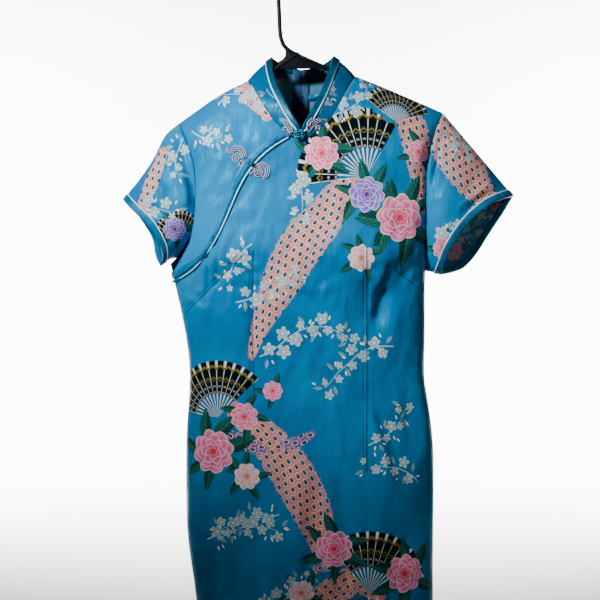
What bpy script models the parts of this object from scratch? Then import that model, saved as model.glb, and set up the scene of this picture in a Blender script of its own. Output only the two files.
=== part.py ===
"""A knee-length satin cheongsam on a moulded plastic hanger.

Metres, +Z up. The dress front faces -Y, and the side called left lies towards -X. The origin is the top of
the hanger hook's inner curve, where a rail touches it. The cloth hangs from the hanger's arms as a flat
tube: each panel is a grid of points on one surface, given a wall towards the hollow inside.
"""

from collections import namedtuple
from math import cos, pi, radians, sin

import bmesh
import bpy
import numpy as np
from mathutils import Vector
from mathutils.bvhtree import BVHTree

# Cloth and the spaces between its pieces
WALL = 0.0012
COLLAR_WALL = 0.0020
TRIM_WALL = 0.0010
SLEEVE_GAP = 0.0005
HALF_GAP = 0.0002  # from a seam to each piece beside it
LIFT = 0.0003
BINDING_WIDTH = 0.0080
TRIM_LIFT = 0.0006
NORMAL_STEP = 0.0030
PLACKET_STRIP_START = 0.0030  # from the slanted opening's edge
PLACKET_STRIP_END = 0.0122
MOST_STRIP_SHARE = 0.75
PIPING_RADIUS = 0.0010
PIPING_SIDES = 5
PIPING_REST = 1.4  # how far the placket's cord lies off the cloth, in trim lifts
TAPE_REST = 1.6  # how far a zip tape lies off the cloth, in lifts
SLIDER_REST = 1.5  # how far the slider and the pull lie off the tapes, in lifts
GROUND_BESIDE_Y = 0.056  # where the cloth would be in a gap between two pieces

# The dress
HEM_Z = -1.190
SLIT_TOP_Z = -1.020
SLIT_GAP = 0.0060
NECK_CENTRE_X = 0.0098
CENTRE_BACK_SHARE = -0.08  # place of the back seam across the dress, -1 at one side seam to 1 at the other
SHOULDER_ROUNDING = 0.090  # how far below the shoulder line the cloth reaches its full depth
ARMHOLE_DEPTH_SHARE = 0.5  # depth of an armhole's middle as a share of the dress's depth there
CALM_REACH = 0.090
ROWS_ABOVE_ARMPIT = 12
FRONT_LOWER_ROWS, BACK_LOWER_ROWS = 20, 15
SHOULDER_CROWDING = 1.6  # above 1, rows close up towards the shoulder
ARMPIT_CROWDING = 1.3  # above 1, rows close up towards the armpit
NECK_COLUMNS = 7  # from a neck point to the centre
SHOULDER_COLUMNS = 8
BACK_NECK_COLUMNS = 5
BACK_SHOULDER_COLUMNS = 6
PLAIN_SLEEVE_RINGS = 6  # from the armhole to the binding

SLOPE_STEP = 0.001
LEAST_FOLD_FADE = 0.25  # height of a fold where it starts, as a share of its full height
CALM_SIDE_SHARE = 6  # folds reach full height this part of the way in from a side seam
CALM_DROP = 0.040  # folds reach full height this far below the shoulder line
CROWDING_SHARE = 0.75
ROW_SPREAD = 1.15  # above 1, rows open up towards the hem
LEFT_ROW_Z = -0.500  # level of the left armpit's row, which leans down to the bust dart
SLIT_CURVE = 1.5
SLEEVE_ROUNDING = 0.6
SLEEVE_END_ROUNDING = 0.7
CORD_FLANK = 0.75  # half width of a cord's top facet, in cord radii
CORD_TOP = 1.35  # height of a cord's top, in cord radii
CORD_DIP = 0.90  # height between two cords, in cord radii
PULL_NARROW_SHARE = 0.36
PULL_TIP_SHARE = 0.55
PULL_SHOULDER = 0.0040
EYE_CORNER = 0.0006
EYE_CORNER_SHARE = 0.7

FRONT, BACK = -1.0, 1.0

Side = namedtuple("Side", "z left right")
SIDE_SEAMS = (
    Side(-0.4225, -0.1875, 0.1970),
    Side(-0.4765, -0.1733, 0.1950),
    Side(-0.5065, -0.1673, 0.1958),
    Side(-0.5365, -0.1613, 0.1957),
    Side(-0.5890, -0.1560, 0.1927),
    Side(-0.6265, -0.1583, 0.2002),
    Side(-0.6565, -0.1613, 0.2048),
    Side(-0.7165, -0.1628, 0.2093),
    Side(-0.8065, -0.1620, 0.2085),
    Side(-0.8515, -0.1583, 0.2078),
    Side(-0.8965, -0.1508, 0.2078),
    Side(-0.9235, -0.1463, 0.2078),
    Side(HEM_Z, -0.1340, 0.2050),
)

Armhole = namedtuple("Armhole", "z front back")
ARMHOLES = {
    "left": (
        Armhole(-0.2105, -0.1718, -0.1718),
        Armhole(-0.2230, -0.1672, -0.1690),
        Armhole(-0.2500, -0.1568, -0.1640),
        Armhole(-0.2770, -0.1482, -0.1605),
        Armhole(-0.3115, -0.1466, -0.1590),
        Armhole(-0.3460, -0.1482, -0.1600),
        Armhole(-0.3730, -0.1523, -0.1630),
        Armhole(-0.3940, -0.1583, -0.1675),
        Armhole(-0.4105, -0.1688, -0.1750),
        Armhole(-0.4225, -0.1875, -0.1875),
    ),
    "right": (
        Armhole(-0.1960, 0.2228, 0.2228),
        Armhole(-0.2200, 0.2108, 0.2150),
        Armhole(-0.2440, 0.2048, 0.2100),
        Armhole(-0.2710, 0.1958, 0.2060),
        Armhole(-0.2920, 0.1943, 0.2045),
        Armhole(-0.3475, 0.1943, 0.2030),
        Armhole(-0.4135, 0.1947, 0.1990),
        Armhole(-0.4330, 0.1966, 0.1966),
    ),
}

Depth = namedtuple("Depth", "z front back")
DEPTHS = (
    Depth(-0.140, 0.060, 0.052),
    Depth(-0.240, 0.060, 0.050),
    Depth(-0.400, 0.060, 0.046),
    Depth(-0.480, 0.052, 0.043),
    Depth(-0.590, 0.045, 0.041),
    Depth(-0.760, 0.056, 0.052),
    Depth(-0.930, 0.050, 0.048),
    Depth(HEM_Z, 0.042, 0.040),
)

# Top edges of the front and back, as seen from the front. The shoulders share one line.
Edge = namedtuple("Edge", "x z")
LEFT_SHOULDER = (
    Edge(-0.1718, -0.2105),
    Edge(-0.1448, -0.1915),
    Edge(-0.1250, -0.1770),
    Edge(-0.0998, -0.1620),
    Edge(-0.0719, -0.1485),
)
RIGHT_SHOULDER = (
    Edge(0.0915, -0.1396),
    Edge(0.1223, -0.1528),
    Edge(0.1613, -0.1693),
    Edge(0.1958, -0.1842),
    Edge(0.2228, -0.1960),
)
NECKLINES = {
    FRONT: (
        Edge(-0.0719, -0.1485),
        Edge(-0.0639, -0.1570),
        Edge(-0.0480, -0.1863),
        Edge(-0.0348, -0.2070),
        Edge(-0.0170, -0.2265),
        Edge(0.0097, -0.2442),
        Edge(0.0350, -0.2290),
        Edge(0.0504, -0.2141),
        Edge(0.0677, -0.1868),
        Edge(0.0852, -0.1500),
        Edge(0.0915, -0.1396),
    ),
    BACK: (
        Edge(-0.0719, -0.1485),
        Edge(-0.0420, -0.1610),
        Edge(0.0098, -0.1680),
        Edge(0.0640, -0.1560),
        Edge(0.0915, -0.1396),
    ),
}
NECK_ARCH_Z = -0.118  # the shoulder line carried over the neck

# The slanted opening from the front of the neck to just under the left armpit
PLACKET = (
    Edge(-0.1768, -0.4482),
    Edge(-0.1396, -0.4235),
    Edge(-0.1150, -0.3925),
    Edge(-0.0976, -0.3535),
    Edge(-0.0790, -0.3070),
    Edge(-0.0540, -0.2725),
    Edge(-0.0290, -0.2510),
    Edge(-0.0034, -0.2358),
)
UNDERLAP_END_X = -0.0085

# Collar halves, from the centre back (share 0) over the shoulder to the front of the neck (share 1)
CollarRow = namedtuple("CollarRow", "share seam_x top_x top_y top_z")
COLLARS = {
    "left": (
        CollarRow(0.000, 0.0098, 0.0098, 0.0420, -0.1270),
        CollarRow(0.200, -0.0340, -0.0130, 0.0360, -0.1215),
        CollarRow(0.396, -0.0719, -0.0352, 0.0090, -0.1123),
        CollarRow(0.482, -0.0639, -0.0349, -0.0050, -0.1255),
        CollarRow(0.600, -0.0524, -0.0299, -0.0230, -0.1512),
        CollarRow(0.700, -0.0412, -0.0230, -0.0350, -0.1676),
        CollarRow(0.800, -0.0280, -0.0124, -0.0465, -0.1890),
        CollarRow(0.900, -0.0096, -0.0033, -0.0530, -0.2069),
        CollarRow(1.000, 0.0090, 0.0086, -0.0575, -0.2252),
    ),
    "right": (
        CollarRow(0.000, 0.0098, 0.0098, 0.0420, -0.1270),
        CollarRow(0.200, 0.0540, 0.0370, 0.0360, -0.1225),
        CollarRow(0.396, 0.0915, 0.0597, 0.0050, -0.1112),
        CollarRow(0.482, 0.0868, 0.0533, -0.0115, -0.1285),
        CollarRow(0.600, 0.0725, 0.0483, -0.0250, -0.1482),
        CollarRow(0.700, 0.0620, 0.0407, -0.0350, -0.1689),
        CollarRow(0.800, 0.0480, 0.0308, -0.0465, -0.1890),
        CollarRow(0.900, 0.0290, 0.0215, -0.0530, -0.2082),
        CollarRow(1.000, 0.0104, 0.0106, -0.0575, -0.2252),
    ),
}
COLLAR_SHOULDER_SHARE = 0.396
COLLAR_BOW = 0.0030
PLAIN_COLLAR_ROWS = 3  # from the seam to the binding

# Sleeve hems, from the outer corner (share 0) to the underarm (share 1)
HemRow = namedtuple("HemRow", "share front_x front_z back_x back_z")
Sleeve = namedtuple("Sleeve", "front_depth back_depth puff hem")
SLEEVES = {
    "left": Sleeve(
        0.032,
        0.030,
        0.009,
        (
            HemRow(0.00, -0.2558, -0.3250, -0.2558, -0.3250),
            HemRow(0.20, -0.2400, -0.3420, -0.2420, -0.3400),
            HemRow(0.40, -0.2150, -0.3650, -0.2265, -0.3620),
            HemRow(0.60, -0.2000, -0.3890, -0.2140, -0.3850),
            HemRow(0.80, -0.1935, -0.4090, -0.2105, -0.4060),
            HemRow(1.00, -0.2000, -0.4255, -0.2000, -0.4255),
        ),
    ),
    "right": Sleeve(
        0.038,
        0.036,
        0.010,
        (
            HemRow(0.00, 0.3272, -0.3190, 0.3272, -0.3190),
            HemRow(0.20, 0.2950, -0.3300, 0.3165, -0.3420),
            HemRow(0.40, 0.2620, -0.3550, 0.2960, -0.3740),
            HemRow(0.60, 0.2400, -0.3810, 0.2775, -0.4040),
            HemRow(0.80, 0.2255, -0.4100, 0.2530, -0.4290),
            HemRow(1.00, 0.2190, -0.4370, 0.2190, -0.4370),
        ),
    ),
}
# The left arm of the hanger pushes the sleeve's cap out: how far along the sleeve, how much, and how wide
CAP_BUMP_AT, CAP_BUMP, CAP_BUMP_WIDTH = 0.22, 0.0085, 0.16

# Folds run from one point to another, seen from the front. A ridge has a positive height, a trough a
# negative one. A round swelling or hollow has both its points close together.
Fold = namedtuple("Fold", "x0 z0 x1 z1 width height")
FOLDS = {
    FRONT: (
        Fold(-0.0770, -0.3900, -0.0700, -0.4200, 0.055, 0.0080),
        Fold(0.1260, -0.3850, 0.1250, -0.4150, 0.050, 0.0090),
        Fold(0.1300, -0.4500, 0.1050, -0.5200, 0.026, -0.0100),
        Fold(0.1420, -0.4220, 0.1880, -0.4600, 0.014, -0.0040),
        Fold(-0.0800, -0.4150, -0.1650, -0.4950, 0.012, -0.0040),
        Fold(-0.0610, -0.4100, -0.0615, -0.6300, 0.012, -0.0040),
        Fold(0.1047, -0.4000, 0.1047, -0.7300, 0.012, -0.0045),
        Fold(-0.1350, -0.3550, -0.1300, -0.4600, 0.010, 0.0030),
        Fold(-0.1020, -0.3600, -0.0980, -0.4700, 0.011, 0.0030),
        Fold(0.1070, -0.6300, 0.1450, -0.7500, 0.018, 0.0050),
        Fold(0.1750, -0.5950, 0.1600, -0.7300, 0.018, -0.0045),
        Fold(-0.0980, -0.7000, -0.0920, -1.1600, 0.024, -0.0055),
        Fold(-0.0350, -0.8000, -0.0280, -1.1900, 0.026, 0.0050),
        Fold(0.0200, -0.6600, 0.0120, -1.1700, 0.024, -0.0055),
        Fold(0.0800, -0.7800, 0.0850, -1.1900, 0.026, 0.0050),
        Fold(0.1300, -0.8200, 0.1400, -1.1800, 0.022, -0.0050),
        Fold(0.1950, -0.2000, 0.1850, -0.3100, 0.011, 0.0035),
        Fold(-0.0250, -0.2700, -0.0400, -0.3700, 0.016, -0.0030),
    ),
    BACK: (
        Fold(-0.0900, -0.2600, -0.0750, -0.4200, 0.022, -0.0040),
        Fold(0.1200, -0.2500, 0.1150, -0.4300, 0.022, -0.0040),
        Fold(-0.0600, -0.4600, -0.0580, -0.6600, 0.014, -0.0040),
        Fold(0.1000, -0.4600, 0.0980, -0.6700, 0.014, -0.0040),
        Fold(-0.1450, -0.5700, -0.0900, -0.6100, 0.016, 0.0035),
        Fold(0.1800, -0.5650, 0.1250, -0.6150, 0.016, 0.0035),
        Fold(-0.0900, -0.7200, -0.0850, -1.1700, 0.026, 0.0050),
        Fold(-0.0300, -0.7600, -0.0250, -1.1500, 0.022, -0.0050),
        Fold(0.0800, -0.7400, 0.0780, -1.1700, 0.026, 0.0050),
        Fold(0.1400, -0.7800, 0.1420, -1.1600, 0.022, -0.0050),
    ),
}
SLEEVE_FOLDS = {
    ("left", FRONT): (
        Fold(-0.1950, -0.2450, -0.1620, -0.3450, 0.013, -0.0090),
        Fold(-0.1750, -0.2500, -0.1560, -0.3200, 0.008, 0.0040),
        Fold(-0.2150, -0.3600, -0.1750, -0.3700, 0.010, -0.0030),
    ),
    ("left", BACK): (Fold(-0.1900, -0.2450, -0.1750, -0.3400, 0.014, -0.0070),),
    ("right", FRONT): (
        Fold(0.2200, -0.2150, 0.2020, -0.3000, 0.009, -0.0060),
        Fold(0.2280, -0.2250, 0.2150, -0.3100, 0.007, 0.0040),
        Fold(0.3000, -0.3050, 0.2420, -0.3500, 0.012, -0.0040),
    ),
    ("right", BACK): (Fold(0.2400, -0.2400, 0.2250, -0.3400, 0.014, -0.0070),),
}
FOLD_END_SHARE = 0.3  # a fold dies away over this share of its length at each end

# Frog fastenings: cords side by side make the wing, one cord makes the coil and another the petal
CORD_RADIUS = 0.0011
CORD_PITCH = 0.0020
WING_CORDS = 3
WING_TIP_WIDTH = 0.55
COIL_TURNS = 1.6
COIL_STEPS_A_TURN = 9
COIL_START_RADIUS = 0.0012
MOST_FROG_TILT = 0.0012
Place = namedtuple("Place", "x z")
Frog = namedtuple("Frog", "name lift coil coil_radius coil_end_degrees turn wing petal")
FROGS = (
    Frog(
        "frog_chest_upper",
        0.0019,
        Place(-0.0848, -0.2690),
        0.0060,
        -10,
        1,
        (
            Place(-0.0724, -0.2676),
            Place(-0.0736, -0.2618),
            Place(-0.0772, -0.2567),
            Place(-0.0824, -0.2541),
            Place(-0.0880, -0.2553),
            Place(-0.0928, -0.2590),
            Place(-0.0962, -0.2570),
        ),
        (Place(-0.0752, -0.2722), Place(-0.0785, -0.2775), Place(-0.0808, -0.2831)),
    ),
    Frog(
        "frog_chest_lower",
        0.0006,
        Place(-0.0540, -0.2926),
        0.0058,
        100,
        -1,
        (
            Place(-0.0550, -0.2822),
            Place(-0.0500, -0.2792),
            Place(-0.0445, -0.2795),
            Place(-0.0400, -0.2830),
            Place(-0.0388, -0.2890),
            Place(-0.0410, -0.2950),
            Place(-0.0448, -0.2985),
        ),
        (Place(-0.0575, -0.2845), Place(-0.0625, -0.2880), Place(-0.0640, -0.2935)),
    ),
    Frog(
        "frog_collar_left",
        0.0017,
        Place(-0.0135, -0.2275),
        0.0037,
        -30,
        1,
        (
            Place(-0.0040, -0.2315),
            Place(-0.0072, -0.2245),
            Place(-0.0112, -0.2185),
            Place(-0.0160, -0.2140),
            Place(-0.0218, -0.2118),
        ),
        (Place(-0.0062, -0.2325), Place(-0.0090, -0.2335), Place(-0.0130, -0.2340)),
    ),
    Frog(
        "frog_collar_right",
        0.0017,
        Place(0.0345, -0.2238),
        0.0038,
        210,
        -1,
        (
            Place(0.0195, -0.2300),
            Place(0.0240, -0.2225),
            Place(0.0295, -0.2172),
            Place(0.0360, -0.2142),
            Place(0.0430, -0.2142),
        ),
        (Place(0.0192, -0.2255), Place(0.0212, -0.2190), Place(0.0255, -0.2110)),
    ),
)
Knot = namedtuple("Knot", "name x z length width degrees lift")
KNOTS = (
    Knot("frog_chest_knot", -0.0645, -0.2752, 0.0125, 0.0085, -42, 0.0008),
    Knot("frog_collar_knot", 0.0072, -0.2350, 0.0165, 0.0150, 0, 0.0030),
)
KNOT_HEIGHT = 0.0050

# The zip in the centre back seam: tapes inside, slider and pull tab outside at the top
TAPE_WIDTH = 0.0120
TAPE_END_Z = -0.620
TAPE_EDGE = 0.0004
ZIP_SLOT = 0.0006
SLIDER_Z = -0.1450
SLIDER_SIZE = (0.0064, 0.0022, 0.0100)
STAPLE = 0.0012
STAPLE_INSIDE_Y = 0.0029
STAPLE_INSIDE_Z = 0.0040
PULL_WIDTH, PULL_LENGTH, PULL_THICKNESS = 0.0070, 0.0210, 0.0012
PULL_BAR = 0.0016
PULL_EYE_WIDTH, PULL_EYE_LENGTH = 0.0034, 0.0046

# The hanger, one moulding: hook and stem run on into the right arm
HANGER_RADIUS = 0.0033
HANGER_SIDES = 8
HOOK_RADIUS = 0.0240
HOOK_CENTRE_Z = -0.0207
HOOK_END_DEGREES = 0
STEM = (
    Place(-0.0237, -0.0300),
    Place(-0.0228, -0.0500),
    Place(-0.0217, -0.0740),
    Place(-0.0190, -0.0880),
    Place(-0.0120, -0.0990),
    Place(0.0060, -0.1100),
)
RIGHT_ARM_TIP = Place(0.2140, -0.2036)
LEFT_ARM = (
    Place(0.0090, -0.1090),
    Place(-0.0400, -0.1372),
    Place(-0.0900, -0.1680),
    Place(-0.1400, -0.1984),
    Place(-0.1700, -0.2177),
    Place(-0.1880, -0.2310),
)
WEB = (
    Place(-0.0152, -0.1000),
    Place(0.0040, -0.1060),
    Place(0.0500, -0.1262),
    Place(0.0500, -0.1285),
    Place(0.0130, -0.1297),
    Place(-0.0240, -0.1305),
    Place(-0.0262, -0.1262),
    Place(-0.0240, -0.1190),
    Place(-0.0173, -0.1150),
    Place(-0.0143, -0.1105),
    Place(-0.0134, -0.1030),
)
WEB_THICKNESS = 0.0034


def smooth(at, places, values):
    """The values' smooth curve, read at a place. It doesn't overshoot between two of them."""
    places = np.asarray(places, float)
    values = np.asarray(values, float)
    if places[0] > places[-1]:
        places = places[::-1]
        values = values[::-1]
    steps = np.diff(places)
    slopes = np.diff(values) / steps
    tangents = np.zeros(len(values))
    tangents[0] = slopes[0]
    tangents[-1] = slopes[-1]
    for i in range(1, len(values) - 1):
        if slopes[i - 1] * slopes[i] > 0:
            before = 2 * steps[i] + steps[i - 1]
            after = steps[i] + 2 * steps[i - 1]
            tangents[i] = (before + after) / (before / slopes[i - 1] + after / slopes[i])
    at = min(max(at, places[0]), places[-1])
    i = min(max(int(np.searchsorted(places, at)) - 1, 0), len(steps) - 1)
    t = (at - places[i]) / steps[i]
    return (
        values[i] * (2 * t**3 - 3 * t**2 + 1)
        + tangents[i] * steps[i] * (t**3 - 2 * t**2 + t)
        + values[i + 1] * (3 * t**2 - 2 * t**3)
        + tangents[i + 1] * steps[i] * (t**3 - t**2)
    )


def read(rows, key, name, at):
    """Column name of a table, as a smooth curve over column key."""
    return smooth(at, [getattr(row, key) for row in rows], [getattr(row, name) for row in rows])


def mix(a, b, share):
    return a + (b - a) * share


def side_x(side, face, z):
    """Where a panel's edge lies at a height: on the side seam, or on the armhole above it."""
    armhole = ARMHOLES[side]
    if z > armhole[-1].z:
        return read(armhole, "z", "front" if face == FRONT else "back", z)
    return read(SIDE_SEAMS, "z", side, z)


def shoulder_z(x):
    """The shoulder line, carried over the neck as an arch."""
    line = [*LEFT_SHOULDER, Edge(NECK_CENTRE_X, NECK_ARCH_Z), *RIGHT_SHOULDER]
    return float(np.interp(x, [p.x for p in line], [p.z for p in line]))


def fold_height(folds, x, z):
    """How far the folds move the cloth outwards at a place seen from the front."""
    total = 0.0
    for fold in folds:
        along = np.array([fold.x1 - fold.x0, fold.z1 - fold.z0])
        offset = np.array([x - fold.x0, z - fold.z0])
        length = np.linalg.norm(along)
        reach = float(offset @ along) / length**2
        nearest = min(max(reach, 0.0), 1.0)
        distance = np.linalg.norm(offset - along * nearest)
        fade = min(1.0, nearest / FOLD_END_SHARE, (1 - nearest) / FOLD_END_SHARE)
        fade = max(fade, LEAST_FOLD_FADE)
        total += fold.height * fade * np.exp(-((distance / fold.width) ** 2))
    return total


def across(face, share, z):
    """The x of a place given as a share across the dress, from -1 to 1. Inner columns run straighter."""
    exact = mix(side_x("left", face, z), side_x("right", face, z), (share + 1) / 2)
    levels = [z + step * CALM_REACH / 2 for step in (-2, -1, 0, 1, 2)]
    left = sum(side_x("left", face, level) for level in levels) / len(levels)
    right = sum(side_x("right", face, level) for level in levels) / len(levels)
    return mix(mix(left, right, (share + 1) / 2), exact, abs(share) ** 7)


def cloth_point(face, share, z):
    """A point on the outer surface of the dress's front or back."""
    x = across(face, share, z)
    armpit = ARMHOLES["left" if share < 0 else "right"][-1].z
    top = ARMHOLES["left" if share < 0 else "right"][0].z
    height = min(max((z - armpit) / (top - armpit), 0.0), 1.0)
    hug = ARMHOLE_DEPTH_SHARE * sin(pi * min(height, 0.5)) ** 0.8
    section = hug + (1 - hug) * (1 - share * share) ** 0.5
    drop = max(shoulder_z(x) - z, 0.0)
    rounding = (1 - np.exp(-drop / SHOULDER_ROUNDING)) ** 0.5
    depth = read(DEPTHS, "z", "front" if face == FRONT else "back", z)
    calm = min(1.0, (1 - abs(share)) * CALM_SIDE_SHARE, drop / CALM_DROP)
    folds = fold_height(FOLDS[face], x, z) * calm
    return np.array([x, face * (depth * section * rounding + folds), z])


def share_at(face, x, z):
    """The share across the dress of a place seen at x and z."""
    low, high = -1.0, 1.0
    for _ in range(24):
        middle = (low + high) / 2
        if across(face, middle, z) < x:
            low = middle
        else:
            high = middle
    return (low + high) / 2


def cloth_at(face, x, z):
    """The cloth's outer surface point seen at x and z from the front."""
    share = min(max(share_at(face, x, z), -1.0), 1.0)
    return cloth_point(face, share, z)


def cloth_normal(face, point):
    """The cloth's outward direction at one of its points."""
    x, z = point[0], point[2]
    along = cloth_at(face, x + NORMAL_STEP, z) - cloth_at(face, x - NORMAL_STEP, z)
    down = cloth_at(face, x, z - NORMAL_STEP) - cloth_at(face, x, z + NORMAL_STEP)
    normal = np.cross(along, down)
    return normal / np.linalg.norm(normal) * (1 if normal[1] * face > 0 else -1)


def top_z(face, x):
    """A panel's top edge: the shoulders, with the neckline between them."""
    neck = NECKLINES[face]
    if x <= neck[0].x:
        return read(LEFT_SHOULDER, "x", "z", x)
    if x >= neck[-1].x:
        return read(RIGHT_SHOULDER, "x", "z", x)
    return read(neck, "x", "z", x)


def placket_z(x, offset=0.0):
    """The slanted opening's height, or that of a line beside it. A positive offset is on the upper left."""
    step = SLOPE_STEP
    slope = (read(PLACKET, "x", "z", x + step) - read(PLACKET, "x", "z", x - step)) / (2 * step)
    return read(PLACKET, "x", "z", x) + offset * (1 + slope * slope) ** 0.5


def meet(face, share, edge):
    """The height at which a column of the panel meets an edge that is given as a height over x."""
    z = -0.2
    for _ in range(40):
        z = mix(z, edge(across(face, share, z)), 0.6)
    return z


def spaced(start, end, count, crowd_start=False, crowd_end=False):
    """Shares from start to end. They close up towards a crowded end, as the cloth turns the corner there."""
    values = []
    for i in range(count + 1):
        t = i / count
        if crowd_start and crowd_end:
            t = (1 - cos(pi * t)) / 2
        elif crowd_start:
            t = mix(t, 1 - cos(pi * t / 2), CROWDING_SHARE)
        elif crowd_end:
            t = mix(t, sin(pi * t / 2), CROWDING_SHARE)
        values.append(mix(start, end, t))
    return values


def armhole_rows():
    """How far down an armhole each row lies, 0 at the shoulder and 1 at the armpit."""
    evenly = [i / ROWS_ABOVE_ARMPIT for i in range(ROWS_ABOVE_ARMPIT + 1)]
    return [mix(t**SHOULDER_CROWDING, 1 - (1 - t) ** ARMPIT_CROWDING, t) for t in evenly]


def armpit_row_z(left, right, share):
    return mix(left, right, (share + 1) / 2)


def panel_grid(face, columns, top, low_left, low_right, lower_rows):
    """Points of a panel: rows from its top edge down to a line near the armpits, and on to the hem."""
    grid = []
    upper = armhole_rows()
    for share in columns:
        top_at = meet(face, share, top)
        middle = armpit_row_z(low_left, low_right, share)
        heights = [mix(top_at, middle, t) for t in upper]
        heights += [mix(middle, HEM_Z, (i / lower_rows) ** ROW_SPREAD) for i in range(1, lower_rows + 1)]
        grid.append([cloth_point(face, share, z) for z in heights])
    return np.array(grid)


def grid_normals(grid, outward):
    """Unit normals of a grid of points, turned the way that outward says."""
    along, down = np.gradient(grid, axis=0), np.gradient(grid, axis=1)
    normals = np.cross(along, down)
    normals /= np.maximum(np.linalg.norm(normals, axis=2, keepdims=True), 1e-12)
    if (normals * outward).sum() < 0:
        normals = -normals
    return normals


def flatten_normals(normals, axis):
    """Turn edge normals into the seam's own plane, so that two walls meet there face to face."""
    normals[..., axis] = 0
    normals /= np.linalg.norm(normals, axis=-1, keepdims=True)


def material(name, color, roughness, metallic=0.0, sheen=0.0):
    made = bpy.data.materials.new(name)
    made.use_nodes = True
    shader = made.node_tree.nodes["Principled BSDF"]
    shader.inputs["Base Color"].default_value = (*color, 1.0)
    shader.inputs["Roughness"].default_value = roughness
    shader.inputs["Metallic"].default_value = metallic
    shader.inputs["Sheen Weight"].default_value = sheen
    return made


def add_mesh(name, vertices, faces, look):
    mesh = bpy.data.meshes.new(name)
    mesh.from_pydata([tuple(v) for v in vertices], [], faces)
    work = bmesh.new()
    work.from_mesh(mesh)
    bmesh.ops.recalc_face_normals(work, faces=work.faces[:])
    if work.calc_volume(signed=True) < 0:
        bmesh.ops.reverse_faces(work, faces=work.faces[:])
    work.to_mesh(mesh)
    work.free()
    mesh.materials.append(look)
    mesh.shade_smooth()
    mesh.set_sharp_from_angle(angle=radians(40))
    obj = bpy.data.objects.new(name, mesh)
    bpy.context.scene.collection.objects.link(obj)
    return obj


def sheet(name, outer, inner, look, ring=False):
    """A wall between two grids of points. With ring set, its first and last columns meet.

    Both sides are split along the same diagonals, so that pieces made from one grid nest.
    """
    columns, rows = outer.shape[:2]
    vertices = np.concatenate([outer.reshape(-1, 3), inner.reshape(-1, 3)])
    second = columns * rows
    faces = []
    steps = columns if ring else columns - 1
    for i in range(steps):
        j = (i + 1) % columns
        for k in range(rows - 1):
            a, b, c, d = i * rows + k, j * rows + k, j * rows + k + 1, i * rows + k + 1
            faces += [(a, b, c), (a, c, d)]
            faces += [(second + a, second + c, second + b), (second + a, second + d, second + c)]
        for k in (0, rows - 1):
            a, b = i * rows + k, j * rows + k
            faces.append((a, b, second + b, second + a) if k else (b, a, second + a, second + b))
    if not ring:
        for i in (0, columns - 1):
            for k in range(rows - 1):
                a, b = i * rows + k, i * rows + k + 1
                faces.append((a, b, second + b, second + a))
    return add_mesh(name, vertices, faces, look)


def loft(name, rings, look, closed=False, turned=()):
    """A body through rings of points, capped at its ends or joined into a loop.

    Sides listed in turned are split along their other diagonal, to match the cloth under them.
    """
    count = len(rings[0])
    faces = []
    for i in range(len(rings) if closed else len(rings) - 1):
        j = (i + 1) % len(rings)
        for k in range(count):
            m = (k + 1) % count
            a, b, c, d = i * count + k, i * count + m, j * count + m, j * count + k
            faces += [(a, b, d), (b, c, d)] if k in turned else [(a, b, c), (a, c, d)]
    if not closed:
        faces.append(tuple(range(count)))
        faces.append(tuple((len(rings) - 1) * count + k for k in reversed(range(count))))
    return add_mesh(name, [p for ring in rings for p in ring], faces, look)


def unit(vector):
    return vector / np.linalg.norm(vector)


def directions(points, closed=False):
    points = np.asarray(points)
    if closed:
        return [unit(points[(i + 1) % len(points)] - points[i - 1]) for i in range(len(points))]
    return [unit(step) for step in np.gradient(points, axis=0)]


def tube_rings(points, normals, radius, sides, closed=False):
    """Round sections along a path, held upright by a normal for each point."""
    rings = []
    for point, ahead, normal in zip(points, directions(points, closed), normals):
        across_path = unit(np.cross(ahead, normal))
        up = np.cross(across_path, ahead)
        turns = [2 * pi * (k + 0.5) / sides for k in range(sides)]
        rings.append([point + radius * (cos(a) * across_path + sin(a) * up) for a in turns])
    return rings


def curve_through(places, count):
    """Evenly numbered points on a smooth curve through a few places."""
    places = np.asarray(places, float)
    last = len(places) - 1
    points = []
    for i in range(count + 1):
        t = last * i / count
        k = min(int(t), last - 1)
        t -= k
        p0, p1, p2, p3 = (places[min(max(k + j, 0), last)] for j in (-1, 0, 1, 2))
        points.append(
            0.5
            * (
                2 * p1
                + (p2 - p0) * t
                + (2 * p0 - 5 * p1 + 4 * p2 - p3) * t**2
                + (3 * p1 - p0 - 3 * p2 + p3) * t**3
            )
        )
    return np.array(points)


def add_guide(obj):
    obj.hide_render = True
    obj.display_type = "WIRE"
    return obj


def join(body, others):
    """Fuse guides into a body, so that it is one closed solid."""
    for other in others:
        union = body.modifiers.new("union_" + other.name, "BOOLEAN")
        union.operation = "UNION"
        union.object = add_guide(other)
    return body


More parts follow.
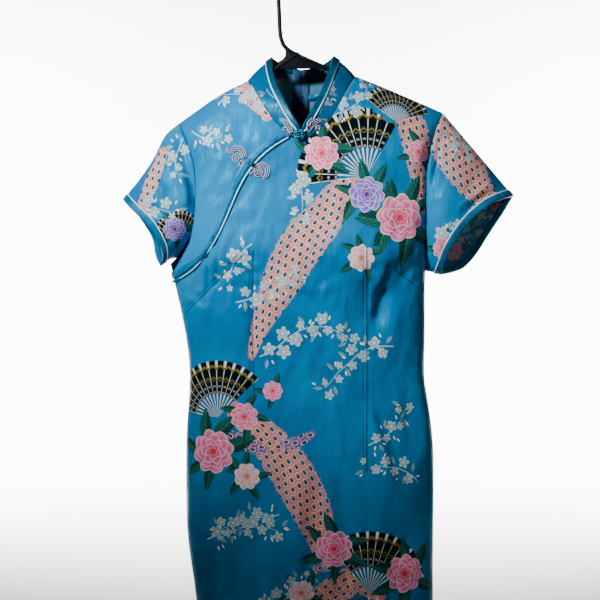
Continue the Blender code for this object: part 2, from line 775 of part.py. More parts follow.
class Panels:
    """The front, the underlap, the two backs and the sleeves, with the seams that they share."""

    def __init__(self):
        placket_top = PLACKET[-1].x
        self.neck_left = self.share_of(NECKLINES[FRONT][0].x)
        self.neck_right = self.share_of(NECKLINES[FRONT][-1].x)
        self.placket_share = share_at(FRONT, placket_top, placket_z(placket_top))
        self.underlap_share = share_at(FRONT, UNDERLAP_END_X, top_z(FRONT, UNDERLAP_END_X))
        self.placket_columns = [
            *spaced(-1, self.neck_left, SHOULDER_COLUMNS, crowd_start=True),
            *spaced(self.neck_left, self.underlap_share, NECK_COLUMNS)[1:],
        ]
        self.grids = {}
        self.normals = {}
        self.make_front()
        self.make_underlap()
        self.make_backs()
        self.make_sleeves()
        self.share_armhole_normals()

    @staticmethod
    def share_of(x):
        left = LEFT_SHOULDER[0].x
        right = RIGHT_SHOULDER[-1].x
        return 2 * (x - left) / (right - left) - 1

    def keep(self, name, grid, face):
        self.grids[name] = grid
        self.normals[name] = grid_normals(grid, np.array([0, face, 0]))

    def make_front(self):
        columns = [*self.placket_columns, self.placket_share, CENTRE_BACK_SHARE]
        columns += spaced(CENTRE_BACK_SHARE, self.neck_right, NECK_COLUMNS)[1:]
        columns += spaced(self.neck_right, 1, SHOULDER_COLUMNS, crowd_end=True)[1:]
        armpit = ARMHOLES["right"][-1].z

        def top(x):
            return placket_z(x, -HALF_GAP) if x < PLACKET[-1].x else top_z(FRONT, x)

        self.keep("front", panel_grid(FRONT, columns, top, LEFT_ROW_Z, armpit, FRONT_LOWER_ROWS), FRONT)
        self.straighten_side("front", 0, FRONT)
        self.straighten_side("front", -1, FRONT, first_row=ROWS_ABOVE_ARMPIT)
        self.straighten_shoulder("front", range(-SHOULDER_COLUMNS - 1, 0), FRONT)

    def make_underlap(self):
        columns = self.placket_columns
        side_end = PLACKET[0].z
        armpit = ARMHOLES["left"][-1].z
        shoulder = ARMHOLES["left"][0].z
        upper_part = (armpit - shoulder) / (side_end - shoulder)
        grid = []
        for share in columns:
            top_at = meet(FRONT, share, lambda x: top_z(FRONT, x))
            low_at = meet(FRONT, share, lambda x: placket_z(x, HALF_GAP))
            x = across(FRONT, share, low_at)
            lean = placket_z(x, 1.0) - placket_z(x)
            room = (top_at - low_at) * MOST_STRIP_SHARE
            strip = [min(distance * lean, room) for distance in (PLACKET_STRIP_END, PLACKET_STRIP_START)]
            middle = max(mix(top_at, low_at, upper_part), mix(low_at + strip[0], top_at, 0.2))
            heights = [mix(top_at, middle, t) for t in armhole_rows()]
            heights += [low_at + strip[0], low_at + mix(*strip, 0.5), low_at + strip[1], low_at]
            grid.append([cloth_point(FRONT, share, z) for z in heights])
        self.keep("underlap", np.array(grid), FRONT)
        for column in range(1, len(columns)):
            for row in range(1, len(grid[column])):
                self.normals["underlap"][column, row] = cloth_normal(FRONT, grid[column][row])
        self.straighten_shoulder("underlap", range(SHOULDER_COLUMNS + 1), FRONT)
        self.straighten_side("underlap", 0, FRONT, first_row=ROWS_ABOVE_ARMPIT)

    def make_backs(self):
        left_armpit = ARMHOLES["left"][-1].z
        right_armpit = ARMHOLES["right"][-1].z
        halves = {
            "left": spaced(-1, self.neck_left, BACK_SHOULDER_COLUMNS, crowd_start=True)
            + spaced(self.neck_left, CENTRE_BACK_SHARE, BACK_NECK_COLUMNS)[1:],
            "right": spaced(CENTRE_BACK_SHARE, self.neck_right, BACK_NECK_COLUMNS)
            + spaced(self.neck_right, 1, BACK_SHOULDER_COLUMNS, crowd_end=True)[1:],
        }
        for side, columns in halves.items():
            name = "back_" + side
            rows = (left_armpit, right_armpit, BACK_LOWER_ROWS)
            grid = panel_grid(BACK, columns, lambda x: top_z(BACK, x), *rows)
            centre = -1 if side == "left" else 0
            towards = -1 if side == "left" else 1
            grid[centre, :, 0] += towards * ZIP_SLOT
            self.keep(name, grid, BACK)
            edge = 0 if side == "left" else -1
            self.straighten_side(name, edge, BACK, first_row=ROWS_ABOVE_ARMPIT)
            first = 0 if side == "left" else -BACK_SHOULDER_COLUMNS - 1
            self.straighten_shoulder(name, range(first, first + BACK_SHOULDER_COLUMNS + 1), BACK)

    def straighten_side(self, name, column, face, first_row=0):
        """Put a side edge beside the seam, with a slit opening below its top."""
        grid = self.grids[name]
        for row in range(first_row, grid.shape[1]):
            z = grid[column, row, 2]
            slit = max(0.0, (SLIT_TOP_Z - z) / (SLIT_TOP_Z - HEM_Z))
            grid[column, row, 1] = face * (HALF_GAP + SLIT_GAP * slit**SLIT_CURVE)
        flatten_normals(self.normals[name][column, first_row:], 1)

    def straighten_shoulder(self, name, columns, face):
        for column in columns:
            self.grids[name][column, 0, 1] = face * HALF_GAP
            flatten_normals(self.normals[name][column, :1], 1)

    def armhole_points(self, side):
        """The body's armhole edge as one ring: down the front and up the back, shoulder first."""
        front_name = "underlap" if side == "left" else "front"
        column = 0 if side == "left" else -1
        down = self.grids[front_name][column, : ROWS_ABOVE_ARMPIT + 1]
        up = self.grids["back_" + side][column, : ROWS_ABOVE_ARMPIT + 1][::-1]
        return down, up

    def make_sleeves(self):
        for side, sleeve in SLEEVES.items():
            outward = -1 if side == "left" else 1
            down, up = self.armhole_points(side)
            body = [*down[:-1], (down[-1] + up[0]) / 2, *up[1:-1]]
            body[0] = (down[0] + up[-1]) / 2
            shares = armhole_rows()
            hem = [self.hem_point(sleeve, FRONT, t) for t in shares]
            hem += [self.hem_point(sleeve, BACK, t) for t in shares[1:-1][::-1]]
            rings = []
            for start, end, share in zip(body, hem, [*shares, *shares[1:-1][::-1]]):
                start = start + unit(end - start + np.array([outward * 0.02, 0, 0])) * SLEEVE_GAP
                column = []
                bound = 1 - BINDING_WIDTH / np.linalg.norm(end - start)
                plain = [bound * ring / PLAIN_SLEEVE_RINGS for ring in range(PLAIN_SLEEVE_RINGS + 1)]
                for t in [*plain, (bound + 1) / 2, 1.0]:
                    point = mix(start, end, t)
                    face = FRONT if point[1] < 0 else BACK
                    roundness = sin(pi * share) ** SLEEVE_ROUNDING
                    point[1] += face * sleeve.puff * sin(pi * t) * roundness
                    point[1] += face * fold_height(SLEEVE_FOLDS[side, face], point[0], point[2]) * sin(
                        pi * t
                    ) ** 0.5 * min(1.0, roundness * 1.4)
                    if side == "left":
                        bump = CAP_BUMP * np.exp(-(((t - CAP_BUMP_AT) / CAP_BUMP_WIDTH) ** 2))
                        bump *= max(0.0, 1 - share * 4) * min(1.0, t / 0.1)
                        point += bump * np.array([-0.8, 0.0, 0.6])
                    column.append(point)
                rings.append(column)
            name = "sleeve_" + side
            grid = np.array(rings)
            self.grids[name] = grid
            centre = grid.mean(axis=0, keepdims=True)
            wrapped = np.concatenate([grid[-1:], grid, grid[:1]])
            normals = grid_normals(wrapped, np.zeros(3))[1:-1]
            if ((grid - centre) * normals).sum() < 0:
                normals = -normals
            self.normals[name] = normals

    @staticmethod
    def hem_point(sleeve, face, share):
        side = "front" if face == FRONT else "back"
        depth = sleeve.front_depth if face == FRONT else sleeve.back_depth
        x = read(sleeve.hem, "share", side + "_x", share)
        z = read(sleeve.hem, "share", side + "_z", share)
        return np.array([x, face * depth * max(sin(pi * share), 0.0) ** SLEEVE_END_ROUNDING, z])

    def share_armhole_normals(self):
        """Give the body's and the sleeve's walls one direction along their seam."""
        for side in SLEEVES:
            front_name = "underlap" if side == "left" else "front"
            column = 0 if side == "left" else -1
            sleeve = self.normals["sleeve_" + side]
            front = self.normals[front_name]
            back = self.normals["back_" + side]
            last = ROWS_ABOVE_ARMPIT
            for row in range(last + 1):
                walls = [(front, column, row, sleeve, row), (back, column, row, sleeve, -row % len(sleeve))]
                if row in (0, last):
                    shared = front[column, row] + back[column, row] + sleeve[row, 0]
                    shared = [unit(shared * np.array([1, 0, 1]))] * 2
                else:
                    shared = [unit(panel[i, j] + other[k, 0]) for panel, i, j, other, k in walls]
                for (panel, i, j, other, k), direction in zip(walls, shared):
                    panel[i, j] = direction
                    other[k, 0] = direction

    def neckline(self, side):
        """The edge that a collar half is sewn to, from the centre back over the shoulder to the front."""
        front = self.grids["front"][:, 0]
        underlap = self.grids["underlap"][:, 0]
        back = self.grids["back_" + side][:, 0]
        first = len(self.placket_columns)
        if side == "left":
            edge = [*back[BACK_SHOULDER_COLUMNS:][::-1], *underlap[SHOULDER_COLUMNS + 1 :]]
            edge += [*front[first : first + 2]]
            corner = BACK_NECK_COLUMNS
        else:
            edge = [*back[: BACK_NECK_COLUMNS + 1], *front[first + 1 : first + 1 + NECK_COLUMNS][::-1]]
            corner = BACK_NECK_COLUMNS
        edge = np.array(edge)
        edge[corner, 1] = 0
        return edge, corner

    def build(self, looks):
        for name, node in (
            ("front", "front_main"),
            ("underlap", "front_underlap"),
            ("back_left", "back_left"),
            ("back_right", "back_right"),
            ("sleeve_left", "sleeve_left"),
            ("sleeve_right", "sleeve_right"),
        ):
            grid = self.grids[name]
            inner = grid - self.normals[name] * WALL
            sheet(node, grid, inner, looks["satin"], ring=name.startswith("sleeve"))


def below(points, normals, distance):
    """The point and the normal at a distance along a row of points, measured from its first."""
    for i, (start, end) in enumerate(zip(points[:-1], points[1:])):
        step = np.linalg.norm(end - start)
        if distance <= step:
            share = distance / step
            return mix(start, end, share), unit(mix(normals[i], normals[i + 1], share))
        distance -= step
    return points[-1], normals[-1]


def edge_binding(name, columns, normals, wall, look, closed=False):
    """A folded strip over a free edge. Each column of points starts at the edge and runs into the cloth."""
    inside, outside = TRIM_LIFT, TRIM_LIFT + TRIM_WALL
    rings = []
    for column, column_normals in zip(columns, normals):
        top, normal = column[0], column_normals[0]
        low, low_normal = below(column, column_normals, BINDING_WIDTH)
        mid, mid_normal = below(column, column_normals, BINDING_WIDTH / 2)
        out = unit(top - column[1])
        rings.append(
            [
                low + low_normal * inside,
                low + low_normal * outside,
                mid + mid_normal * outside,
                top + normal * outside + out * outside,
                top - normal * (wall + outside) + out * outside,
                mid - mid_normal * (wall + outside),
                low - low_normal * (wall + outside),
                low - low_normal * (wall + inside),
                mid - mid_normal * (wall + inside),
                top - normal * (wall + inside) + out * inside,
                top + normal * inside + out * inside,
                mid + mid_normal * inside,
            ]
        )
    return loft(name, rings, look, closed, turned=(10, 11))


def edge_piping(name, columns, normals, look, closed=False):
    """A round cord along the inner side of a binding."""
    reach = BINDING_WIDTH + PIPING_RADIUS + TRIM_LIFT
    places = [below(column, column_normals, reach) for column, column_normals in zip(columns, normals)]
    path = [point + normal * (PIPING_RADIUS + LIFT) for point, normal in places]
    upright = [normal for _, normal in places]
    return loft(name, tube_rings(path, upright, PIPING_RADIUS, PIPING_SIDES, closed), look, closed)


class Collar:
    """One half of the standing collar, from the centre back to the front of the neck."""

    def __init__(self, side, panels):
        self.side = side
        self.centre_side = -1 if side == "left" else 1
        edge, corner = panels.neckline(side)
        rows = COLLARS[side]
        turn = next(i for i, row in enumerate(rows) if row.share == COLLAR_SHOULDER_SHARE)
        grid = []
        for i, base in enumerate(edge):
            part = rows[: turn + 1] if i <= corner else rows[turn:]
            share = COLLAR_SHOULDER_SHARE if i == corner else read(part, "seam_x", "share", base[0])
            top = self.point(rows, base, share, 1.0)
            bound = 1 - BINDING_WIDTH / np.linalg.norm(top - base)
            heights = [bound * row / PLAIN_COLLAR_ROWS for row in range(PLAIN_COLLAR_ROWS + 1)]
            heights += [(bound + 1) / 2, 1.0]
            grid.append([self.point(rows, base, share, height) for height in heights])
        self.grid = np.array(grid)
        outward = (self.grid - np.array([NECK_CENTRE_X, 0, 0])) * np.array([1, 1, 0])
        self.normals = grid_normals(self.grid, outward)
        for end in (0, -1):
            flatten_normals(self.normals[end], 0)

    def point(self, rows, base, share, height):
        top = np.array([read(rows, "share", name, share) for name in ("top_x", "top_y", "top_z")])
        point = mix(base + unit(top - base) * SLEEVE_GAP, top, height)
        away = (point - np.array([NECK_CENTRE_X, 0, 0])) * np.array([1, 1, 0])
        bow = COLLAR_BOW * (1 - share) ** 0.5 * sin(pi * min(share / 0.2, 1) / 2)
        point = point + unit(away) * bow * 4 * height * (1 - height)
        if share < 0.01:
            point[0] = NECK_CENTRE_X + self.centre_side * ZIP_SLOT
        if share > 0.99:
            point[0] += self.centre_side * HALF_GAP * 2
        return point

    def build(self, looks):
        name = "collar_" + self.side
        sheet(name, self.grid, self.grid - self.normals * COLLAR_WALL, looks["satin"])
        columns = self.grid[:, ::-1]
        normals = self.normals[:, ::-1]
        edge_binding(name + "_binding", columns, normals, COLLAR_WALL, looks["binding"])
        edge_piping(name + "_piping", columns, normals, looks["piping"])

    def tape_columns(self):
        """Points inside the collar that the zip's tape lies on, top first, one list for each tape column."""
        columns = []
        inwards = np.array([0, -1.0, 0])
        for across_tape in (TAPE_EDGE, TAPE_WIDTH / 2, TAPE_WIDTH):
            column = []
            for row in range(self.grid.shape[1] - 1, -1, -1):
                point, normal = below(self.grid[:, row], self.normals[:, row], across_tape)
                over_binding = TRIM_LIFT + TRIM_WALL if row >= PLAIN_COLLAR_ROWS else 0.0
                column.append(point - normal * COLLAR_WALL + inwards * over_binding)
            columns.append(column)
        return columns


def build_sleeve_trim(panels, looks):
    for side in SLEEVES:
        columns = panels.grids["sleeve_" + side][:, ::-1]
        normals = panels.normals["sleeve_" + side][:, ::-1]
        name = "sleeve_" + side
        edge_binding(name + "_binding", columns, normals, WALL, looks["binding"], closed=True)
        edge_piping(name + "_piping", columns, normals, looks["piping"], closed=True)


def build_placket_trim(panels, looks):
    """The satin strip and the white cord along the slanted opening, made from the underlap's points."""
    grid = panels.grids["underlap"]
    normals = panels.normals["underlap"]
    away = [unit(last - before) for before, last in zip(grid[:, -2], grid[:, -1])]
    lift = PIPING_RADIUS + TRIM_LIFT * PIPING_REST
    path = grid[:, -1] + normals[:, -1] * lift + np.array(away) * TRIM_LIFT
    rings = tube_rings(path, normals[:, -1], PIPING_RADIUS, PIPING_SIDES)
    loft("placket_piping", rings, looks["piping"])
    rows = slice(-4, -1)
    inner = grid[:, rows] + normals[:, rows] * TRIM_LIFT
    sheet("placket_binding", inner + normals[:, rows] * TRIM_WALL, inner, looks["binding"])


class Ground:
    """The cloth that the fastenings lie on, found by looking at it from the front."""

    def __init__(self, names):
        self.trees = []
        for name in names:
            mesh = bpy.data.objects[name].data
            corners = [vertex.co[:] for vertex in mesh.vertices]
            faces = [tuple(face.vertices) for face in mesh.polygons]
            self.trees.append(BVHTree.FromPolygons(corners, faces))

    def above(self, place, lift):
        start = Vector((place[0], -1.0, place[1]))
        hits = [tree.ray_cast(start, Vector((0, 1, 0)))[0] for tree in self.trees]
        depths = [hit.y for hit in hits if hit is not None]
        if not depths:
            level = Vector((place[0], -GROUND_BESIDE_Y, place[1]))
            nearest = (tree.find_nearest(level)[0] for tree in self.trees)
            depths = [min(nearest, key=lambda point: (point - level).length).y]
        return np.array([place[0], min(depths) - lift, place[1]])

    def section(self, place, side, profile, lift):
        """A section's points, given as offset and height pairs, on a level that is clear of the cloth."""
        reach = max(offset for offset, _ in profile)
        left, middle, right = (self.above(place + side * way * reach, lift)[1] for way in (-1, 0, 1))
        left = min(left, right + MOST_FROG_TILT)
        right = min(right, left + MOST_FROG_TILT)
        rise = min(middle - (left + right) / 2, 0.0)
        points = []
        for offset, height in profile:
            x, z = place + side * offset
            points.append(np.array([x, mix(left, right, (offset / reach + 1) / 2) + rise - height, z]))
        return points


def build_frog(frog, ground, looks):
    """Half of a frog fastening: the wing of three cords, the coil and the petal as one flat piece."""
    normal = np.array([0, -1.0, 0])
    root = (frog.wing[0].x, frog.wing[0].z)

    def cord(name, places):
        path = [ground.above(place, frog.lift + CORD_RADIUS) for place in places]
        return loft(name, tube_rings(path, [normal] * len(path), CORD_RADIUS, 5), looks["cord"])

    wing_line = curve_through([(p.x, p.z) for p in frog.wing], 9)
    rings = []
    for i, (place, way) in enumerate(zip(wing_line, directions(wing_line))):
        side = np.array([-way[1], way[0]]) * mix(1.0, WING_TIP_WIDTH, i / (len(wing_line) - 1))
        section = wing_profile(CORD_PITCH * (WING_CORDS - 1) / 2)
        rings.append(ground.section(place, side, section, frog.lift))
    wing = loft(frog.name, rings, looks["cord"])

    steps = int(COIL_TURNS * COIL_STEPS_A_TURN)
    coil = []
    for i in range(steps + 1):
        t = i / steps
        angle = radians(frog.coil_end_degrees) - frog.turn * 2 * pi * COIL_TURNS * (1 - t)
        radius = mix(COIL_START_RADIUS, frog.coil_radius - CORD_RADIUS, t)
        coil.append(np.array([frog.coil.x + radius * cos(angle), frog.coil.z + radius * sin(angle)]))
    coil += [mix(coil[-1], np.array(root), 0.5), np.array(root)]
    petal = curve_through([root, *[(p.x, p.z) for p in frog.petal]], 5)
    join(wing, [cord(frog.name + "_coil", coil), cord(frog.name + "_petal", petal)])


def wing_profile(half):
    """The wing's section: a flat underside and a rounded back for each cord, as offset and height pairs."""
    width = half + CORD_RADIUS
    section = [(-width, 0.0), (width, 0.0)]
    for i in range(WING_CORDS):
        middle = half - i * CORD_PITCH
        section.append((middle + CORD_RADIUS * CORD_FLANK, CORD_RADIUS * CORD_TOP))
        section.append((middle, CORD_RADIUS * 2))
        if i < WING_CORDS - 1:
            section.append((middle - CORD_PITCH / 2, CORD_RADIUS * CORD_DIP))
    section.append((-half - CORD_RADIUS * CORD_FLANK, CORD_RADIUS * CORD_TOP))
    return section


def build_knot(knot, ground, looks):
    """A flattened ball of wound cord, resting on the trim below it."""
    tilt = radians(knot.degrees)
    base = ground.above((knot.x, knot.z), knot.lift)
    rings = []
    levels = 6
    for level in range(1, levels):
        turn = pi * level / levels
        ring = []
        for k in range(10):
            angle = 2 * pi * k / 10
            a = knot.length / 2 * sin(turn) * cos(angle)
            b = knot.width / 2 * sin(turn) * sin(angle)
            x = a * cos(tilt) - b * sin(tilt)
            z = a * sin(tilt) + b * cos(tilt)
            ring.append(base + np.array([x, -KNOT_HEIGHT * (1 - cos(turn)) / 2, z]))
        rings.append(ring)
    loft(knot.name, rings, looks["knot"])


def build_zip_tapes(panels, collars, looks):
    for side, collar in collars.items():
        grid = panels.grids["back_" + side]
        normals = panels.normals["back_" + side]
        centre, beside = (-1, -2) if side == "left" else (0, 1)
        rows = [row for row in range(grid.shape[1]) if grid[centre, row, 2] > TAPE_END_Z]
        columns = []
        for across_tape, column in zip((TAPE_EDGE, TAPE_WIDTH / 2, TAPE_WIDTH), collar.tape_columns()):
            for row in rows[1:]:
                start, end = grid[centre, row], grid[beside, row]
                share = across_tape / np.linalg.norm(end - start)
                column.append(mix(start, end, share) - normals[centre, row] * WALL)
            columns.append(column)
        near = np.array(columns)
        inwards = np.array([0, -1.0, 0])
        rest = LIFT * TAPE_REST
        sheet("zip_tape_" + side, near + inwards * rest, near + inwards * (rest + TRIM_WALL), looks["zip"])


def box(name, low, high, look, bevel=0.0):
    corners = [(x, y, z) for x in (low[0], high[0]) for y in (low[1], high[1]) for z in (low[2], high[2])]
    faces = [(0, 1, 3, 2), (4, 6, 7, 5), (0, 4, 5, 1), (2, 3, 7, 6), (0, 2, 6, 4), (1, 5, 7, 3)]
    obj = add_mesh(name, corners, faces, look)
    if bevel:
        rounding = obj.modifiers.new("rounding", "BEVEL")
        rounding.width = bevel
        rounding.segments = 2
    return obj


def zip_pull_axis(collar):
    """The centre of the pull tab's bar, where the tab turns."""
    seat = slider_seat(collar)
    return np.array(
        [
            NECK_CENTRE_X,
            seat + SLIDER_SIZE[1] + STAPLE_INSIDE_Y / 2,
            SLIDER_Z - STAPLE_INSIDE_Z / 2 + PULL_BAR / 2 + LIFT * SLIDER_REST,
        ]
    )


def slider_seat(collar):
    """Where the slider's inner face lies, just clear of the collar's outer surface."""
    top, base = collar.grid[0, -1], collar.grid[0, 0]
    height = (SLIDER_Z + SLIDER_SIZE[2] / 2 - base[2]) / (top[2] - base[2])
    return mix(base[1], top[1], height) + LIFT * SLIDER_REST


def build_zip_slider(collar, looks):
    seat = slider_seat(collar)
    width, depth, length = SLIDER_SIZE
    body = box(
        "zip_slider",
        (NECK_CENTRE_X - width / 2, seat, SLIDER_Z - length / 2),
        (NECK_CENTRE_X + width / 2, seat + depth, SLIDER_Z + length / 2),
        looks["zip_metal"],
        bevel=0.0006,
    )
    inner_y = seat + depth + STAPLE_INSIDE_Y
    reach = STAPLE_INSIDE_Z / 2
    bars = (
        ("outer", (inner_y, -reach - STAPLE), (inner_y + STAPLE, reach + STAPLE)),
        ("upper", (seat + depth / 2, reach), (inner_y + STAPLE / 2, reach + STAPLE)),
        ("lower", (seat + depth / 2, -reach - STAPLE), (inner_y + STAPLE / 2, -reach)),
    )
    guides = []
    for name, (low_y, low_z), (high_y, high_z) in bars:
        inset = 0.00005 if name != "outer" else 0.0
        low = (NECK_CENTRE_X - STAPLE / 2 + inset, low_y, SLIDER_Z + low_z + inset)
        high = (NECK_CENTRE_X + STAPLE / 2 - inset, high_y, SLIDER_Z + high_z - inset)
        guides.append(box("zip_slider_" + name, low, high, looks["zip_metal"]))
    join(body, guides)


def build_zip_pull(collar, looks):
    """The pull tab: a plate with an eye around the slider's staple. It turns about the bar above the eye."""
    axis = zip_pull_axis(collar)
    top = PULL_BAR / 2
    eye_top, eye_low = -PULL_BAR / 2, -PULL_BAR / 2 - PULL_EYE_LENGTH
    low = top - PULL_LENGTH
    half, narrow = PULL_WIDTH / 2, PULL_WIDTH * PULL_NARROW_SHARE
    eye = PULL_EYE_WIDTH / 2
    outer = [
        (-narrow, top),
        (0, top),
        (narrow, top),
        (narrow * 1.1, (eye_top + eye_low) / 2),
        (half, low + PULL_SHOULDER),
        (half * PULL_TIP_SHARE, low),
        (-half * PULL_TIP_SHARE, low),
        (-half, low + PULL_SHOULDER),
        (-narrow * 1.1, (eye_top + eye_low) / 2),
    ]
    inner = [
        (-eye, eye_top),
        (0, eye_top),
        (eye, eye_top),
        (eye, (eye_top + eye_low) / 2),
        (eye, eye_low + EYE_CORNER),
        (eye * EYE_CORNER_SHARE, eye_low),
        (-eye * EYE_CORNER_SHARE, eye_low),
        (-eye, eye_low + EYE_CORNER),
        (-eye, (eye_top + eye_low) / 2),
    ]
    half_thick = PULL_THICKNESS / 2
    rings = []
    for y, outline in ((half_thick, outer), (half_thick, inner), (-half_thick, inner), (-half_thick, outer)):
        rings.append([np.array([x, y, z]) for x, z in outline])
    pull = loft("zip_pull", rings, looks["zip_metal"], closed=True)
    pull.location = axis


def build_hanger(looks):
    """The hook, stem and right arm as one bent rod, the left arm, and the flat web between them."""
    arc = []
    for step in range(13):
        angle = radians(mix(HOOK_END_DEGREES, 180, step / 12))
        arc.append((HOOK_RADIUS * cos(angle), HOOK_CENTRE_Z + HOOK_RADIUS * sin(angle)))
    stem = curve_through([arc[-1], *[(p.x, p.z) for p in STEM]], 20)[1:]
    tip = (RIGHT_ARM_TIP.x, RIGHT_ARM_TIP.z)
    bend = stem[-1]
    right = [tuple(mix(bend, np.array(tip), i / 5)) for i in range(1, 6)]
    left = curve_through([(p.x, p.z) for p in LEFT_ARM], 10)
    normal = np.array([0, -1.0, 0])

    def rod(name, places, round_start, round_end):
        path = [np.array([x, 0.0, z]) for x, z in places]
        rings = tube_rings(path, [normal] * len(path), HANGER_RADIUS, HANGER_SIDES)
        if round_start:
            rings = end_cap(path[0], path[0] - path[1], rings[0])[::-1] + rings
        if round_end:
            rings = rings + end_cap(path[-1], path[-1] - path[-2], rings[-1])
        return loft(name, rings, looks["hanger"])

    body = rod("hanger", [*arc, *stem, *right], True, True)
    arm = rod("hanger_left_arm", left, False, True)
    half = WEB_THICKNESS / 2
    web_rings = [[np.array([p.x, y, p.z]) for p in WEB] for y in (-half, half)]
    web = loft("hanger_web", web_rings, looks["hanger"])
    join(body, [arm, web])


def end_cap(centre, ahead, ring):
    """Smaller sections that round a rod's end off."""
    ahead = unit(ahead)
    caps = []
    for degrees in (35, 65):
        shrink, push = cos(radians(degrees)), sin(radians(degrees))
        caps.append([centre + (p - centre) * shrink + ahead * HANGER_RADIUS * push for p in ring])
    return caps


def main():
    for obj in list(bpy.data.objects):
        bpy.data.objects.remove(obj)
    looks = {
        "satin": material("turquoise_satin", (0.004, 0.27, 0.56), 0.35, sheen=0.3),
        "binding": material("binding_satin", (0.005, 0.18, 0.40), 0.35, sheen=0.3),
        "piping": material("white_piping", (0.70, 0.84, 0.92), 0.5),
        "cord": material("lavender_cord", (0.35, 0.42, 0.72), 0.4),
        "knot": material("turquoise_knot", (0.01, 0.25, 0.42), 0.4),
        "zip": material("blue_zip_tape", (0.01, 0.12, 0.42), 0.7),
        "zip_metal": material("painted_zip_metal", (0.01, 0.12, 0.38), 0.4),
        "hanger": material("black_plastic", (0.012, 0.014, 0.020), 0.3),
    }
    panels = Panels()
    panels.build(looks)
    build_sleeve_trim(panels, looks)
    build_placket_trim(panels, looks)
    collars = {side: Collar(side, panels) for side in COLLARS}
    for collar in collars.values():
        collar.build(looks)
    cloth = ("front_main", "front_underlap", "collar_left", "collar_right")
    trims = ("placket_binding", "placket_piping", "collar_left_binding", "collar_right_binding")
    ground = Ground((*cloth, *trims, "collar_left_piping", "collar_right_piping"))
    for frog in FROGS:
        build_frog(frog, ground, looks)
    for knot in KNOTS:
        build_knot(knot, ground, looks)
    build_zip_tapes(panels, collars, looks)
    build_zip_slider(collars["left"], looks)
    build_zip_pull(collars["left"], looks)
    build_hanger(looks)


main()
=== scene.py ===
"""A cheongsam on a hanger: cloth, print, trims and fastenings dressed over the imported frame."""

import logging
import math
import random
from collections.abc import Callable
from dataclasses import dataclass, field
from enum import Enum

import bmesh
import bpy
import numpy as np
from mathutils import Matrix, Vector, noise
from mathutils.bvhtree import BVHTree


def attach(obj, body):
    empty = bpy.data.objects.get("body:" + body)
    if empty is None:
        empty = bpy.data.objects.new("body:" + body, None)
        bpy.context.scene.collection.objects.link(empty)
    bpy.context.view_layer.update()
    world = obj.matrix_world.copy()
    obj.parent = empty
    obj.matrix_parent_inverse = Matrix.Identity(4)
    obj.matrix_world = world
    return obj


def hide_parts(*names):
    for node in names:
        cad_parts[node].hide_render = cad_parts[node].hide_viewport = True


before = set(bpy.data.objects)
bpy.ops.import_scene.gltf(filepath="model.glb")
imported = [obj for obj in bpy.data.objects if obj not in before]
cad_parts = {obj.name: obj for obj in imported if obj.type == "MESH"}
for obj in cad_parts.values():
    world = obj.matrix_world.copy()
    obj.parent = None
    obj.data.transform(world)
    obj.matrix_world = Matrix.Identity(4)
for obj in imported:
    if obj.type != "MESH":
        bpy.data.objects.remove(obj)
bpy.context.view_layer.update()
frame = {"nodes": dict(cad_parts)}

log = logging.getLogger("cheongsam")

DRESS_BODY = "dress"
FAR = 9.0  # a motif coordinate that lies outside every motif
FAN_HALF_ANGLE = 1.12
SMOOTH_BELOW = math.radians(50)  # the hanger is shaded smooth over edges flatter than this
SHARP_EDGE = math.radians(48)  # from here on an edge stays sharp when its piece is rounded
THREAD_LAY = 5.0  # cord radii in one turn of a cord's threads
MERGE_DISTANCE = 0.00002  # points of the frame nearer than this are one point
STITCH_REACH = 0.006  # how far from a dart's line its puckers and its painted seam shade reach
Pair = tuple[float, float]
Triple = tuple[float, float, float]
Colour = Triple
Mesh = tuple[np.ndarray, list]
Blend = bpy.types.Object


# ---------------------------------------------------------------- shader maths


def maths(operation: str, swapped: bool = False) -> Callable:
    """Make a method that adds one Math node.

    Args:
        operation: what the node does.
        swapped: whether the socket comes after the other value.

    Returns:
        The method.
    """

    def method(socket: "Socket", *others: object) -> "Socket":
        """Add the node."""
        values = (*others, socket) if swapped else (socket, *others)
        return socket.graph.node("ShaderNodeMath", {"operation": operation}, dict(enumerate(values)))

    return method


class Socket:
    """A shader value that can be used in Python expressions."""

    __add__ = __radd__ = maths("ADD")
    __sub__, __rsub__ = maths("SUBTRACT"), maths("SUBTRACT", True)
    __mul__ = __rmul__ = maths("MULTIPLY")
    __truediv__, __rtruediv__ = maths("DIVIDE"), maths("DIVIDE", True)
    __pow__ = maths("POWER")
    abs, fract = maths("ABSOLUTE"), maths("FRACT")
    sin, cos = maths("SINE"), maths("COSINE")

    def __init__(self, graph: "Graph", link: bpy.types.NodeSocket) -> None:
        """Wrap one output socket of a graph."""
        self.graph = graph
        self.link = link

    def below(self, edge: object, blur: float = 0.02) -> "Socket":
        """Return 1 where the value is below an edge, with a soft step of a given blur.

        Args:
            edge: the value at which the mask ends.
            blur: how wide the soft step is.

        Returns:
            A mask between 0 and 1.
        """
        step = (edge - self) / blur if isinstance(edge, Socket) else (float(edge) - self) / blur
        return self.graph.node("ShaderNodeClamp", {}, {0: step + 0.5})

    def above(self, edge: object, blur: float = 0.02) -> "Socket":
        """Return 1 where the value is above an edge."""
        return 1.0 - self.below(edge, blur)


